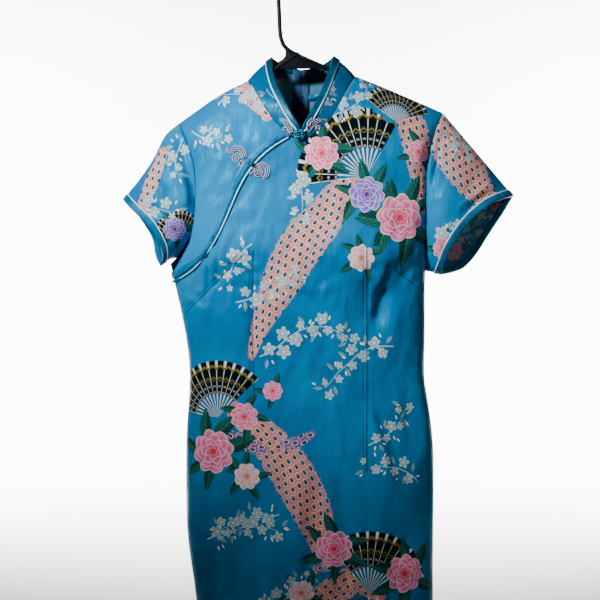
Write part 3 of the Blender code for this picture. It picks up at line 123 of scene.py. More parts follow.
class Graph:
    """The node tree of one material."""

    def __init__(self, name: str) -> None:
        """Start an empty material.

        Args:
            name: the material's name.
        """
        self.material = bpy.data.materials.new(name)
        self.material.use_nodes = True
        self.tree = self.material.node_tree
        self.tree.nodes.clear()
        self.output = self.tree.nodes.new("ShaderNodeOutputMaterial")
        self.shader = self.tree.nodes.new("ShaderNodeBsdfPrincipled")
        self.tree.links.new(self.shader.outputs[0], self.output.inputs[0])

    def put(self, socket: bpy.types.NodeSocket, value: object) -> None:
        """Link or set one input.

        Args:
            socket: the input.
            value: a Socket, a number, or a colour.
        """
        if isinstance(value, Socket):
            self.tree.links.new(value.link, socket)
        elif isinstance(value, tuple) and len(value) == 3 and len(socket.default_value) == 4:
            socket.default_value = (*value, 1.0)
        else:
            socket.default_value = value

    def node(self, kind: str, settings: dict, inputs: dict, output: object = 0) -> Socket:
        """Add any node.

        Args:
            kind: the node's type.
            settings: its properties, set before its sockets.
            inputs: values or links by socket name or number.
            output: the name or number of the output to return.

        Returns:
            The chosen output.
        """
        made = self.tree.nodes.new(kind)
        for key, value in settings.items():
            setattr(made, key, value)
        for key, value in inputs.items():
            self.put(made.inputs[key], value)
        return Socket(self, made.outputs[output])

    def mix(self, factor: object, first: object, second: object) -> Socket:
        """Mix two colours.

        Args:
            factor: the share of the second.
            first: a colour or a colour socket.
            second: a colour or a colour socket.

        Returns:
            The mixed colour.
        """
        settings = {"data_type": "RGBA", "blend_type": "MIX"}
        return self.node("ShaderNodeMix", settings, {0: factor, 6: first, 7: second}, 2)

    def parts(self, vector: Socket) -> tuple[Socket, Socket, Socket]:
        """Split a vector.

        Args:
            vector: the vector.

        Returns:
            Its X, Y and Z.
        """
        made = self.tree.nodes.new("ShaderNodeSeparateXYZ")
        self.put(made.inputs[0], vector)
        return tuple(Socket(self, made.outputs[i]) for i in range(3))

    def attribute(self, name: str) -> tuple[Socket, Socket, Socket]:
        """Read a vector attribute of the piece and split it."""
        return self.parts(self.node("ShaderNodeAttribute", {"attribute_name": name}, {}, "Vector"))

    def place(self) -> Socket:
        """Return the Object coordinates."""
        return self.node("ShaderNodeTexCoord", {}, {}, "Object")

    def noise(self, vector: Socket, scale: float, detail: float = 2.0) -> Socket:
        """Return a noise value between 0 and 1 at a scale per metre."""
        return self.node("ShaderNodeTexNoise", {}, {"Vector": vector, "Scale": scale, "Detail": detail}, 0)

    def stretched(self, vector: Socket, scale: Colour) -> Socket:
        """Return coordinates scaled by a factor for each axis."""
        return self.node("ShaderNodeMapping", {}, {"Vector": vector, "Scale": scale})

    def bump(self, height: Socket, distance: float, strength: float = 1.0, under: object = None) -> Socket:
        """Turn a height into a normal.

        Args:
            height: the height, 0 to 1.
            distance: the height of 1, in metres.
            strength: how much of it shows.
            under: a normal to start from.

        Returns:
            The normal.
        """
        inputs = {"Height": height, "Distance": distance, "Strength": strength}
        if under is not None:
            inputs["Normal"] = under
        return self.node("ShaderNodeBump", {}, inputs)

    def polar(self, x: Socket, y: Socket) -> tuple[Socket, Socket]:
        """Turn two coordinates into a radius and an angle."""
        radius = (x * x + y * y) ** 0.5
        return radius, self.node("ShaderNodeMath", {"operation": "ARCTAN2"}, {0: y, 1: x})

    def finish(self, settings: dict) -> bpy.types.Material:
        """Set the shader's inputs and return the material.

        Args:
            settings: values or links by the shader's socket names.

        Returns:
            The finished material.
        """
        for key, value in settings.items():
            self.put(self.shader.inputs[key], value)
        return self.material


# ---------------------------------------------------------------- finishes


@dataclass(frozen=True)
class Satin:
    """Plain satin for bindings and pipings."""

    name: str
    colour: Colour
    light: Colour
    gleam: Colour = (0.25, 0.80, 1.0)
    roughness: float = 0.32
    thread: float = 900.0

    def build(self) -> bpy.types.Material:
        """Make the material.

        Returns:
            A satin with fine threads and a soft change of colour.
        """
        graph = Graph(self.name)
        place = graph.place()
        soft = graph.noise(place, 60.0)
        weave = graph.noise(graph.stretched(place, (1.0, 1.0, 0.25)), self.thread, 1.0)
        colour = graph.mix(soft.above(0.42, 0.5), self.colour, self.light)
        return graph.finish(
            {
                "Base Color": colour,
                "Roughness": self.roughness + weave * 0.10,
                "Specular IOR Level": 0.3,
                "Specular Tint": self.gleam,
                "Normal": graph.bump(weave, 0.00012, 0.5),
            }
        )


@dataclass(frozen=True)
class TwistedCord:
    """A cord of twisted satin threads. Its piece holds turns and length in the attribute twist."""

    name: str
    colour: Colour
    navy_and_groove_shade: Colour
    strands: float = 2.0

    def build(self) -> bpy.types.Material:
        """Make the material.

        Returns:
            A satin cord with painted shade in the grooves between its strands.
        """
        graph = Graph(self.name)
        around, along, navy_and_core_shade = graph.attribute("twist")
        wave = ((around * self.strands + along) * (2 * math.pi)).sin() * 0.5 + 0.5
        threads = graph.noise(graph.place(), 2200.0, 1.0)
        # painted shade: the grooves between strands are darkened towards the dark navy colour
        pale = graph.mix(wave.below(0.35, 0.5) * 0.45, self.colour, self.navy_and_groove_shade)
        # navy cords take the dark navy colour as their own; a knot's core takes it as painted shade
        colour = graph.mix(navy_and_core_shade, pale, self.navy_and_groove_shade)
        return graph.finish(
            {
                "Base Color": colour,
                "Roughness": 0.36 + threads * 0.12,
                "Specular IOR Level": 0.35,
                "Normal": graph.bump(wave + threads * 0.2, 0.0004, 0.7),
            }
        )


@dataclass(frozen=True)
class ZipTape:
    """Woven zip tape."""

    name: str
    colour: Colour

    def build(self) -> bpy.types.Material:
        """Make the material.

        Returns:
            A matt ribbed tape.
        """
        graph = Graph(self.name)
        place = graph.place()
        _, _, height = graph.parts(place)
        ribs = (height * 7000.0).sin() * 0.5 + 0.5
        wool = graph.noise(place, 900.0)
        colour = graph.mix(ribs * 0.35 + wool * 0.3, self.colour, tuple(0.45 * c for c in self.colour))
        return graph.finish(
            {"Base Color": colour, "Roughness": 0.62 + wool * 0.2, "Normal": graph.bump(ribs, 0.0001, 0.6)}
        )


@dataclass(frozen=True)
class Lacquer:
    """Smooth painted metal or moulded plastic with small marks of wear."""

    name: str
    colour: Colour
    worn: Colour
    roughness: float
    metallic: float = 0.0
    grain: float = 500.0
    gloss: float = 0.5

    def build(self) -> bpy.types.Material:
        """Make the material.

        Returns:
            A smooth finish whose roughness and colour vary a little.
        """
        graph = Graph(self.name)
        place = graph.place()
        cloud = graph.noise(place, 35.0, 4.0)
        grain = graph.noise(place, self.grain, 2.0)
        scratch = graph.noise(graph.stretched(place, (1.0, 1.0, 0.08)), 260.0, 3.0)
        wear = scratch.above(0.66, 0.08) * cloud.above(0.5, 0.3)
        return graph.finish(
            {
                "Base Color": graph.mix(wear * 0.6 + cloud * 0.15, self.colour, self.worn),
                "Roughness": self.roughness + cloud * 0.12 + wear * 0.2,
                "Metallic": self.metallic,
                "Specular IOR Level": self.gloss,
                "Normal": graph.bump(grain, 0.00005, 0.35),
            }
        )


class Layer(Enum):
    """The layers of the print, painted in this order. Each has its own attribute on the cloth."""

    RIBBON = "ribbon"
    FAN = "fan"
    TWIG = "twig"
    LEAF_LOW = "leaf_low"
    LEAF_HIGH = "leaf_high"
    BLOSSOM_LOW = "blossom_low"
    BLOSSOM_HIGH = "blossom_high"
    PEONY_LOW = "peony_low"
    PEONY_HIGH = "peony_high"


@dataclass(frozen=True)
class PrintedSatin:
    """Turquoise satin with the flower print. The cloth's attributes say which motif lies where."""

    name: str = "printed_satin"
    ground: Colour = (0.0, 0.180, 0.400)
    ground_deep: Colour = (0.0, 0.105, 0.270)
    silver: Colour = (0.42, 0.56, 0.60)
    silver_shade: Colour = (0.07, 0.24, 0.32)
    leaf: Colour = (0.001, 0.022, 0.020)
    leaf_light: Colour = (0.02, 0.17, 0.13)
    salmon: Colour = (0.58, 0.085, 0.070)
    salmon_light: Colour = (0.76, 0.31, 0.25)
    eye: Colour = (0.0, 0.055, 0.125)
    eye_ring: Colour = (0.70, 0.50, 0.38)
    plum: Colour = (0.10, 0.015, 0.17)
    plum_light: Colour = (0.34, 0.16, 0.44)
    ink: Colour = (0.002, 0.003, 0.004)
    chalk: Colour = (0.58, 0.64, 0.64)
    gold: Colour = (0.16, 0.13, 0.02)
    pink: Colour = (0.58, 0.010, 0.14)
    pink_light: Colour = (0.84, 0.32, 0.52)
    violet: Colour = (0.06, 0.015, 0.36)
    violet_light: Colour = (0.40, 0.24, 0.74)
    rose: Colour = (0.62, 0.14, 0.22)
    cream: Colour = (0.86, 0.78, 0.74)
    stamen: Colour = (0.85, 0.45, 0.03)
    # painted shade: the near-black blue that shaded pieces and the darts' seam lines are darkened towards
    painted_shade_colour: Colour = (0.0, 0.020, 0.060)
    gleam: Colour = (0.04, 0.72, 1.0)
    wrong_side: Colour = (0.10, 0.20, 0.24)
    scale_pitch: float = 0.0125
    fan_ribs: float = 13.0

    def ribbon(self, graph: Graph, colour: Socket) -> Socket:
        """Paint the brocade ribbons: overlapping scales with a dark drop in each.

        Args:
            graph: the material.
            colour: the cloth so far.

        Returns:
            The colour with the ribbons on it.
        """
        along, across, width = graph.attribute(Layer.RIBBON.value)
        is_plum = width.below(0.0, 0.0001)
        width = width.abs()
        dark = graph.mix(is_plum, self.salmon, self.plum)
        light = graph.mix(is_plum, self.salmon_light, self.plum_light)
        row = along / self.scale_pitch
        line = row - row.fract()
        odd = (line * 0.5).fract() * 2.0
        column = across * width / (self.scale_pitch * 0.86) + odd * 0.5 + 40.0
        x = column.fract() - 0.5
        y = row.fract() - 0.5
        scale_radius, _ = graph.polar(x, y - 0.45)
        barbs = ((x * 2.2 + y * 0.3).abs() * 26.0 + y * 30.0).sin() * 0.5 + 0.5
        shade = graph.mix(barbs, dark, light)
        shade = graph.mix((scale_radius - 0.86).abs().below(0.05, 0.04) * 0.45, shade, self.cream)
        drop_width = 0.22 + (y + 0.05) * 0.26
        across_drop, along_drop = x / drop_width, (y + 0.02) / 0.36
        drop = (across_drop * across_drop + along_drop * along_drop) ** 0.5
        shade = graph.mix(drop.below(1.25, 0.1), shade, self.eye_ring)
        shade = graph.mix(drop.below(0.85, 0.1), shade, self.eye)
        edge = graph.noise(graph.place(), 420.0, 3.0)
        inside = (across.abs() + edge * 0.34 - 0.17).below(0.93, 0.05)
        faded = across.abs().above(0.55, 0.8) * 0.5
        shade = graph.mix(faded * edge, shade, self.ground)
        return graph.mix(inside, colour, shade)

    def fan(self, graph: Graph, colour: Socket) -> Socket:
        """Paint the folding fans: black leaves, pale ribs and gold arcs.

        Args:
            graph: the material.
            colour: the cloth so far.

        Returns:
            The colour with the fans on it.
        """
        x, y, _ = graph.attribute(Layer.FAN.value)
        radius, angle = graph.polar(x, y)
        wedge = (angle - math.pi / 2).abs().below(FAN_HALF_ANGLE, 0.02) * radius.below(1.0, 0.02)
        ribs = ((angle * (self.fan_ribs / (2 * FAN_HALF_ANGLE))).fract() - 0.5).abs()
        leaf = radius.above(0.42, 0.02)
        shade = graph.mix(ribs.below(0.05 + radius.above(0.86, 0.02) * 0.10, 0.05), self.ink, self.chalk)
        scallop = radius - ribs * 0.10
        shade = graph.mix((scallop - 0.86).abs().below(0.022, 0.01), shade, self.gold)
        shade = graph.mix((scallop - 0.66).abs().below(0.014, 0.01), shade, self.gold)
        bars = ((radius * 60.0).sin() * ribs.above(0.25, 0.1)).above(0.6, 0.3) * radius.below(0.64, 0.05)
        shade = graph.mix(bars * 0.4, shade, self.chalk)
        sticks = graph.mix(ribs.below(0.2, 0.05), self.ground_deep, self.chalk)
        shade = graph.mix(leaf, sticks, shade)
        return graph.mix(wedge, colour, shade)

    def twig(self, graph: Graph, colour: Socket) -> Socket:
        """Paint the twigs, thinner towards their ends.

        Args:
            graph: the material.
            colour: the cloth so far.

        Returns:
            The colour with the twigs on it.
        """
        distance, width, tone = graph.attribute(Layer.TWIG.value)
        shade = graph.mix(tone, self.silver_shade, self.silver)
        return graph.mix((distance.abs() / width).below(1.0, 0.5), colour, shade)

    def leaves(self, graph: Graph, colour: Socket, layer: Layer) -> Socket:
        """Paint leaves with a midrib and side veins.

        Args:
            graph: the material.
            colour: the cloth so far.
            layer: which leaf layer.

        Returns:
            The colour with the leaves on it.
        """
        x, y, tone = graph.attribute(layer.value)
        half = (1.0 - x * x) * (0.36 + x * -0.10)
        wobble = ((x * 30.0).sin() * 0.02) + half
        inside = (y.abs() - wobble).below(0.0, 0.03) * x.abs().below(1.0)
        veins = ((y.abs() * 2.2 - x) * 20.0).sin() * 0.5 + 0.5
        light = veins.above(0.75, 0.4) * 0.55 + y.above(0.0, 0.3) * 0.3
        dark = graph.mix(light, self.leaf, self.leaf_light)
        pale = graph.mix(light, self.silver_shade, self.silver)
        shade = graph.mix(tone.above(1.5), graph.mix(tone.above(0.5), dark, pale), self.cream)
        shade = graph.mix(y.abs().below(0.03, 0.02) * tone.below(1.5) * 0.8, shade, self.leaf_light)
        return graph.mix(inside, colour, shade)

    def blossoms(self, graph: Graph, colour: Socket, layer: Layer) -> Socket:
        """Paint small five-petalled blossoms in silver.

        Args:
            graph: the material.
            colour: the cloth so far.
            layer: which blossom layer.

        Returns:
            The colour with the blossoms on it.
        """
        x, y, tone = graph.attribute(layer.value)
        radius, angle = graph.polar(x, y)
        lobe = (angle * 2.5).cos().abs()
        edge = 0.50 + lobe * 0.48
        inside = radius.below(edge, 0.05)
        rays = ((angle * 20.0).sin() * 0.5 + 0.5) * radius.below(0.62, 0.2)
        shade = graph.mix((radius / edge) ** 1.2, self.silver_shade, self.silver)
        shade = graph.mix(rays * 0.45, shade, self.chalk)
        shade = graph.mix((radius - edge + 0.09).abs().below(0.05, 0.05) * 0.7, shade, self.chalk)
        shade = graph.mix(radius.below(0.16, 0.06), shade, self.cream)
        shade = graph.mix(lobe.below(0.22, 0.1) * radius.above(0.3, 0.1) * 0.6, shade, self.silver_shade)
        return graph.mix(inside * tone.above(0.2), colour, shade)

    def peonies(self, graph: Graph, colour: Socket, layer: Layer) -> Socket:
        """Paint peonies from rings of petals, the outer ring first.

        Args:
            graph: the material.
            colour: the cloth so far.
            layer: which peony layer.

        Returns:
            The colour with the peonies on it.
        """
        x, y, tone = graph.attribute(layer.value)
        radius, angle = graph.polar(x, y)
        is_violet = tone.above(0.33)
        is_cream = tone.above(0.66)
        deep = graph.mix(is_cream, graph.mix(is_violet, self.pink, self.violet), self.rose)
        pale = graph.mix(is_cream, graph.mix(is_violet, self.pink_light, self.violet_light), self.cream)
        veins = (angle * 46.0 + (radius * 9.0).sin() * 2.0).sin() * 0.5 + 0.5
        for petals, turn, reach, depth, start in (
            (8.0, 0.2, 0.99, 0.17, 0.50),
            (7.0, 1.0, 0.80, 0.17, 0.36),
            (6.0, 2.1, 0.60, 0.15, 0.24),
            (5.0, 0.5, 0.41, 0.12, 0.12),
        ):
            lobe = ((angle + turn) * (petals / 2)).cos().abs()
            edge = reach - depth + lobe * depth + ((angle * 11.0 + turn).sin() * 0.018)
            inside = radius.below(edge, 0.025)
            fill = graph.node("ShaderNodeClamp", {}, {0: (radius - start) / (edge - start)})
            shade = graph.mix(fill**1.6, deep, pale)
            shade = graph.mix(veins * fill * 0.32, shade, deep)
            shade = graph.mix(lobe.below(0.20, 0.16) * 0.75, shade, deep)
            shade = graph.mix((edge - radius).below(0.035, 0.03) * 0.7, shade, self.cream)
            colour = graph.mix(inside, colour, shade)
        dots = ((angle * 9.0).cos() * 0.5 + 0.5) * (radius - 0.17).abs().below(0.04, 0.03)
        colour = graph.mix(radius.below(0.13, 0.05) * 0.8, colour, deep)
        return graph.mix(dots.above(0.5, 0.3), colour, self.stamen)

    def build(self) -> bpy.types.Material:
        """Make the material.

        Returns:
            The printed satin, duller on its wrong side.
        """
        graph = Graph(self.name)
        place = graph.place()
        shaded, pucker, inner = graph.attribute("cloth")
        soft = graph.noise(place, 9.0, 3.0)
        colour = graph.mix(soft.above(0.45, 0.4), self.ground_deep, self.ground)
        colour = self.ribbon(graph, colour)
        colour = self.fan(graph, colour)
        colour = self.twig(graph, colour)
        for paint, low, high in (
            (self.leaves, Layer.LEAF_LOW, Layer.LEAF_HIGH),
            (self.blossoms, Layer.BLOSSOM_LOW, Layer.BLOSSOM_HIGH),
            (self.peonies, Layer.PEONY_LOW, Layer.PEONY_HIGH),
        ):
            colour = paint(graph, paint(graph, colour, low), high)
        # painted shade: pieces with a shade value (the collars) are darkened as if lying in shadow
        colour = graph.mix(shaded, colour, self.painted_shade_colour)
        # painted shade: a thin dark line along each dart's seam, as in the groove of its fold
        dart_seam_shade = pucker.abs().below(0.0007, 0.0004)
        colour = graph.mix(dart_seam_shade * 0.75, colour, self.painted_shade_colour)
        wrong_side = graph.mix(0.45, colour, self.wrong_side)
        colour = graph.mix(inner, colour, wrong_side)
        crumple = graph.noise(graph.stretched(place, (1.0, 1.0, 0.45)), 42.0, 3.0)
        crumple = crumple + graph.noise(graph.stretched(place, (0.55, 1.0, 1.0)), 17.0, 2.0) * 1.2
        threads = graph.noise(graph.stretched(place, (1.0, 1.0, 0.2)), 1400.0, 1.0)
        ripple = (pucker * 900.0).cos() * pucker.abs().below(STITCH_REACH, STITCH_REACH)
        relief = graph.bump(crumple + ripple * 0.08, 0.0056, 0.6)
        return graph.finish(
            {
                "Base Color": colour,
                "Roughness": 0.29 + threads * 0.10 + inner * 0.25,
                "Specular IOR Level": 0.13,
                "Specular Tint": self.gleam,
                "Normal": graph.bump(threads, 0.00006, 0.4, relief),
            }
        )


# ---------------------------------------------------------------- the print's layout


@dataclass(frozen=True)
class Mark:
    """One motif that is read in its own square of coordinates."""

    layer: Layer
    x: float
    z: float
    radius: float
    angle: float
    tone: float

    def local(self, places: np.ndarray) -> np.ndarray:
        """Turn places on the cloth into the motif's own coordinates.

        Args:
            places: the places, one a row.

        Returns:
            Two coordinates each, 1 at the motif's edge.
        """
        cosine, sine = math.cos(self.angle), math.sin(self.angle)
        offset = (places - (self.x, self.z)) / self.radius
        return offset @ np.array([[cosine, -sine], [sine, cosine]])


@dataclass(frozen=True)
class Band:
    """A curved form: a ribbon or a twig, from points with a half width at each."""

    layer: Layer
    points: tuple[Triple, ...]
    tone: float


@dataclass(frozen=True)
class Bouquet:
    """A peony with its leaves and buds."""

    x: float
    z: float
    radius: float
    tone: float
    leaves: int = 6
    seed: int = 1

    def marks(self) -> list[Mark]:
        """Lay out the bouquet.

        Returns:
            The flower, its leaves and its buds.
        """
        chance = random.Random(self.seed)
        found = []
        start = chance.uniform(0, 2 * math.pi)
        for i in range(self.leaves):
            angle = start + 2 * math.pi * (i + chance.uniform(-0.25, 0.25)) / self.leaves
            size = self.radius * chance.uniform(0.62, 0.9)
            reach = self.radius * 0.95 + size * 0.35
            layer = Layer.LEAF_LOW if i % 2 else Layer.LEAF_HIGH
            x, z = self.x + reach * math.cos(angle), self.z + reach * math.sin(angle)
            found.append(Mark(layer, x, z, size, angle + chance.uniform(-0.4, 0.4), 0.0))
        layer = Layer.PEONY_LOW if self.seed % 2 else Layer.PEONY_HIGH
        found.append(Mark(layer, self.x, self.z, self.radius, chance.uniform(0, 6), self.tone))
        return found


@dataclass(frozen=True)
class Spray:
    """A twig that bends and carries blossoms and buds."""

    x: float
    z: float
    heading: float
    length: float
    bend: float
    seed: int
    pitch: float = 0.014
    flower: float = 0.0112

    def lay(self) -> tuple[list[Band], list[Mark]]:
        """Lay out the twig.

        Returns:
            Its bands and its marks.
        """
        chance = random.Random(self.seed)
        steps = max(4, int(self.length / self.pitch))
        heading, x, z = math.radians(self.heading), self.x, self.z
        points, marks = [], []
        for i in range(steps + 1):
            points.append((x, z, 0.0011 * (1 - 0.6 * i / steps)))
            if i:
                side = 1 if i % 2 else -1
                reach = chance.uniform(0.004, 0.013)
                turn = heading + side * chance.uniform(0.7, 1.4)
                size = self.flower * chance.uniform(0.65, 1.15) * (1 - 0.35 * i / steps)
                layer = Layer.BLOSSOM_LOW if i % 2 else Layer.BLOSSOM_HIGH
                place = (x + reach * math.cos(turn), z + reach * math.sin(turn))
                marks.append(Mark(layer, *place, size, chance.uniform(0, 6), 1.0))
                for bud in range(3):
                    turn = heading - side * chance.uniform(0.3, 2.6)
                    reach = chance.uniform(0.009, 0.019)
                    place = (x + reach * math.cos(turn), z + reach * math.sin(turn))
                    leaf = Layer.LEAF_LOW if (i + bud) % 2 else Layer.LEAF_HIGH
                    size, tone = (0.0075, 1.0) if bud == 0 else (0.0036, 2.0)
                    marks.append(Mark(leaf, *place, size, turn, tone))
            heading += math.radians(self.bend) / steps + chance.uniform(-0.22, 0.22)
            x += self.pitch * math.cos(heading)
            z += self.pitch * math.sin(heading)
        return [Band(Layer.TWIG, tuple(points), 0.8)], marks


@dataclass(frozen=True)
class Layout:
    """Everything that is printed on one side of the dress."""

    bouquets: tuple[Bouquet, ...] = ()
    sprays: tuple[Spray, ...] = ()
    fans: tuple[Mark, ...] = ()
    ribbons: tuple[Band, ...] = ()

    def lay(self) -> tuple[list[Band], list[Mark]]:
        """Lay out every group.

        Returns:
            The bands and the marks.
        """
        bands = list(self.ribbons)
        marks = list(self.fans)
        for bouquet in self.bouquets:
            marks += bouquet.marks()
        for spray in self.sprays:
            more_bands, more_marks = spray.lay()
            bands += more_bands
            marks += more_marks
        return bands, marks


def ribbon(*points: Triple, plum: bool = False) -> Band:
    """Name a ribbon by its points and whether it is plum-coloured or salmon."""
    return Band(Layer.RIBBON, points, float(plum))


def fan(x: float, z: float, radius: float, degrees: float) -> Mark:
    """Name a fan by the place of its pivot, its size and its turn."""
    return Mark(Layer.FAN, x, z, radius, math.radians(degrees), 0.0)


def bouquets(*rows: tuple) -> tuple[Bouquet, ...]:
    """Name bouquets by rows of x, z, radius, tone, number of leaves and seed."""
    return tuple(Bouquet(*row) for row in rows)


def sprays(first_seed: int, *rows: tuple) -> tuple[Spray, ...]:
    """Name sprays by rows of x, z, heading, length and bend, with a seed each from the first on."""
    return tuple(Spray(*row, seed) for seed, row in enumerate(rows, first_seed))


FRONT_LAYOUT = Layout(
    bouquets=bouquets(
        (0.042, -0.262, 0.026, 0.0, 5, 3), (0.108, -0.322, 0.027, 0.5, 6, 2),
        (0.158, -0.356, 0.036, 0.0, 7, 5), (0.100, -0.415, 0.020, 0.8, 5, 8),
        (0.186, -0.258, 0.018, 0.1, 4, 10), (-0.120, -0.700, 0.033, 0.1, 7, 7),
        (-0.072, -0.648, 0.021, 0.0, 4, 4), (-0.068, -0.735, 0.020, 0.9, 5, 9),
        (-0.030, -0.610, 0.015, 0.0, 3, 12), (0.060, -0.840, 0.028, 0.1, 6, 13),
        (0.168, -0.880, 0.029, 0.0, 6, 14), (0.012, -0.905, 0.019, 0.9, 5, 16),
        (-0.095, -1.010, 0.030, 0.0, 6, 15), (0.110, -1.085, 0.030, 0.1, 6, 17),
        (0.020, -1.120, 0.022, 0.5, 5, 18),
    ),
    sprays=sprays(
        21,
        (-0.030, -0.190, 160, 0.085, 40), (0.005, -0.285, -70, 0.080, -50),
        (-0.155, -0.225, -60, 0.060, 60), (-0.060, -0.395, 200, 0.080, 50),
        (-0.085, -0.480, 10, 0.105, 40), (-0.050, -0.560, 20, 0.165, -30), (0.150, -0.545, 170, 0.130, 40),
        (0.110, -0.690, 30, 0.095, 40), (0.190, -0.745, 130, 0.090, 60), (-0.130, -0.830, 30, 0.120, -50),
        (-0.020, -0.790, 200, 0.110, 30), (0.130, -0.930, 190, 0.120, 30), (-0.060, -0.930, 0, 0.110, 40),
        (0.190, -1.010, 200, 0.120, -30), (-0.120, -1.120, 20, 0.120, 30), (0.060, -0.205, 20, 0.090, 30),
    ),
    fans=(
        fan(0.108, -0.296, 0.102, 34),
        fan(0.150, -0.212, 0.056, -12),
        fan(-0.112, -0.650, 0.084, 18),
        fan(0.112, -0.905, 0.090, -22),
        fan(-0.050, -1.090, 0.080, 15),
    ),
    ribbons=(
        ribbon((0.082, -0.300, 0.020), (0.050, -0.350, 0.030), (0.010, -0.400, 0.034),
               (-0.022, -0.460, 0.030), (-0.050, -0.520, 0.018), (-0.062, -0.560, 0.006)),
        ribbon((-0.085, -0.640, 0.016), (-0.040, -0.680, 0.028), (0.002, -0.735, 0.034),
               (0.034, -0.800, 0.030), (0.048, -0.850, 0.018)),
        ribbon((0.130, -0.905, 0.014), (0.080, -0.890, 0.026), (0.020, -0.960, 0.034),
               (0.000, -1.040, 0.034), (0.030, -1.110, 0.022)),
        ribbon(
            (0.145, -0.150, 0.016), (0.175, -0.210, 0.024), (0.190, -0.280, 0.022), (0.200, -0.340, 0.012),
        ),
        ribbon((-0.085, -0.150, 0.010), (-0.060, -0.172, 0.018), (-0.038, -0.205, 0.010)),
        ribbon((-0.110, -0.668, 0.008), (-0.060, -0.690, 0.013), (-0.010, -0.690, 0.012),
               (0.030, -0.672, 0.006), plum=True),
        ribbon((0.130, -0.868, 0.008), (0.080, -0.856, 0.012), (0.030, -0.872, 0.007), plum=True),
    ),
)

BACK_LAYOUT = Layout(
    bouquets=bouquets(
        (-0.060, -0.290, 0.034, 0.0, 7, 41), (-0.105, -0.350, 0.025, 0.5, 5, 42),
        (0.130, -0.450, 0.034, 0.1, 6, 43), (0.080, -0.500, 0.020, 0.9, 5, 44),
        (-0.070, -0.620, 0.032, 0.0, 6, 45), (-0.110, -0.680, 0.019, 0.8, 5, 46),
        (0.120, -0.800, 0.034, 0.1, 7, 47), (-0.060, -0.950, 0.032, 0.0, 6, 48),
        (0.090, -1.080, 0.030, 0.5, 6, 49),
    ),
    sprays=sprays(
        51,
        (0.060, -0.210, 20, 0.110, 40), (-0.140, -0.230, 60, 0.070, -60), (0.020, -0.380, -20, 0.110, 40),
        (-0.120, -0.450, 10, 0.110, 60), (0.160, -0.580, 170, 0.120, -40),
        (-0.020, -0.530, 190, 0.100, 30), (0.040, -0.690, 10, 0.110, -30), (-0.120, -0.800, 20, 0.130, 40),
        (0.170, -0.920, 190, 0.110, 40), (-0.110, -1.070, 10, 0.110, -40), (0.020, -1.000, 30, 0.100, 40),
    ),
    fans=(fan(-0.036, -0.300, 0.062, -35), fan(0.110, -0.470, 0.060, 40), fan(0.090, -0.830, 0.060, -20)),
    ribbons=(
        ribbon((-0.040, -0.330, 0.016), (0.000, -0.400, 0.030), (0.030, -0.470, 0.032),
               (0.044, -0.550, 0.003)),
        ribbon((0.125, -0.610, 0.003), (0.060, -0.670, 0.030), (0.010, -0.740, 0.034),
               (-0.050, -0.840, 0.003)),
        ribbon((-0.050, -0.980, 0.004), (0.010, -1.030, 0.030), (0.034, -1.100, 0.028),
               (0.010, -1.180, 0.003)),
    ),
)

LEFT_SLEEVE_LAYOUT = Layout(
    bouquets=(Bouquet(-0.176, -0.372, 0.018, 0.5, 4, 71),),
    sprays=sprays(72, (-0.165, -0.235, -110, 0.060, 40), (-0.235, -0.330, -20, 0.060, 30)),
    fans=(fan(-0.168, -0.385, 0.040, 20),),
    ribbons=(ribbon((-0.196, -0.255, 0.008), (-0.212, -0.300, 0.013), (-0.228, -0.345, 0.009)),),
)

RIGHT_SLEEVE_LAYOUT = Layout(
    bouquets=(Bouquet(0.222, -0.400, 0.017, 0.0, 4, 81),),
    sprays=sprays(82, (0.208, -0.395, 40, 0.090, 30), (0.225, -0.215, -60, 0.030, 30)),
    ribbons=(
        ribbon(
            (0.215, -0.190, 0.030), (0.245, -0.250, 0.042), (0.272, -0.305, 0.036), (0.300, -0.335, 0.014),
        ),
    ),
)

COLLAR_LAYOUT = Layout(
    bouquets=bouquets((0.026, -0.170, 0.010, 0.0, 4, 91), (-0.010, -0.150, 0.012, 0.0, 4, 93)),
    sprays=(
        Spray(-0.040, -0.165, -60, 0.040, 30, 92, 0.012, 0.006),
        Spray(0.062, -0.150, 240, 0.060, 20, 94, 0.012, 0.006),
    ),
)


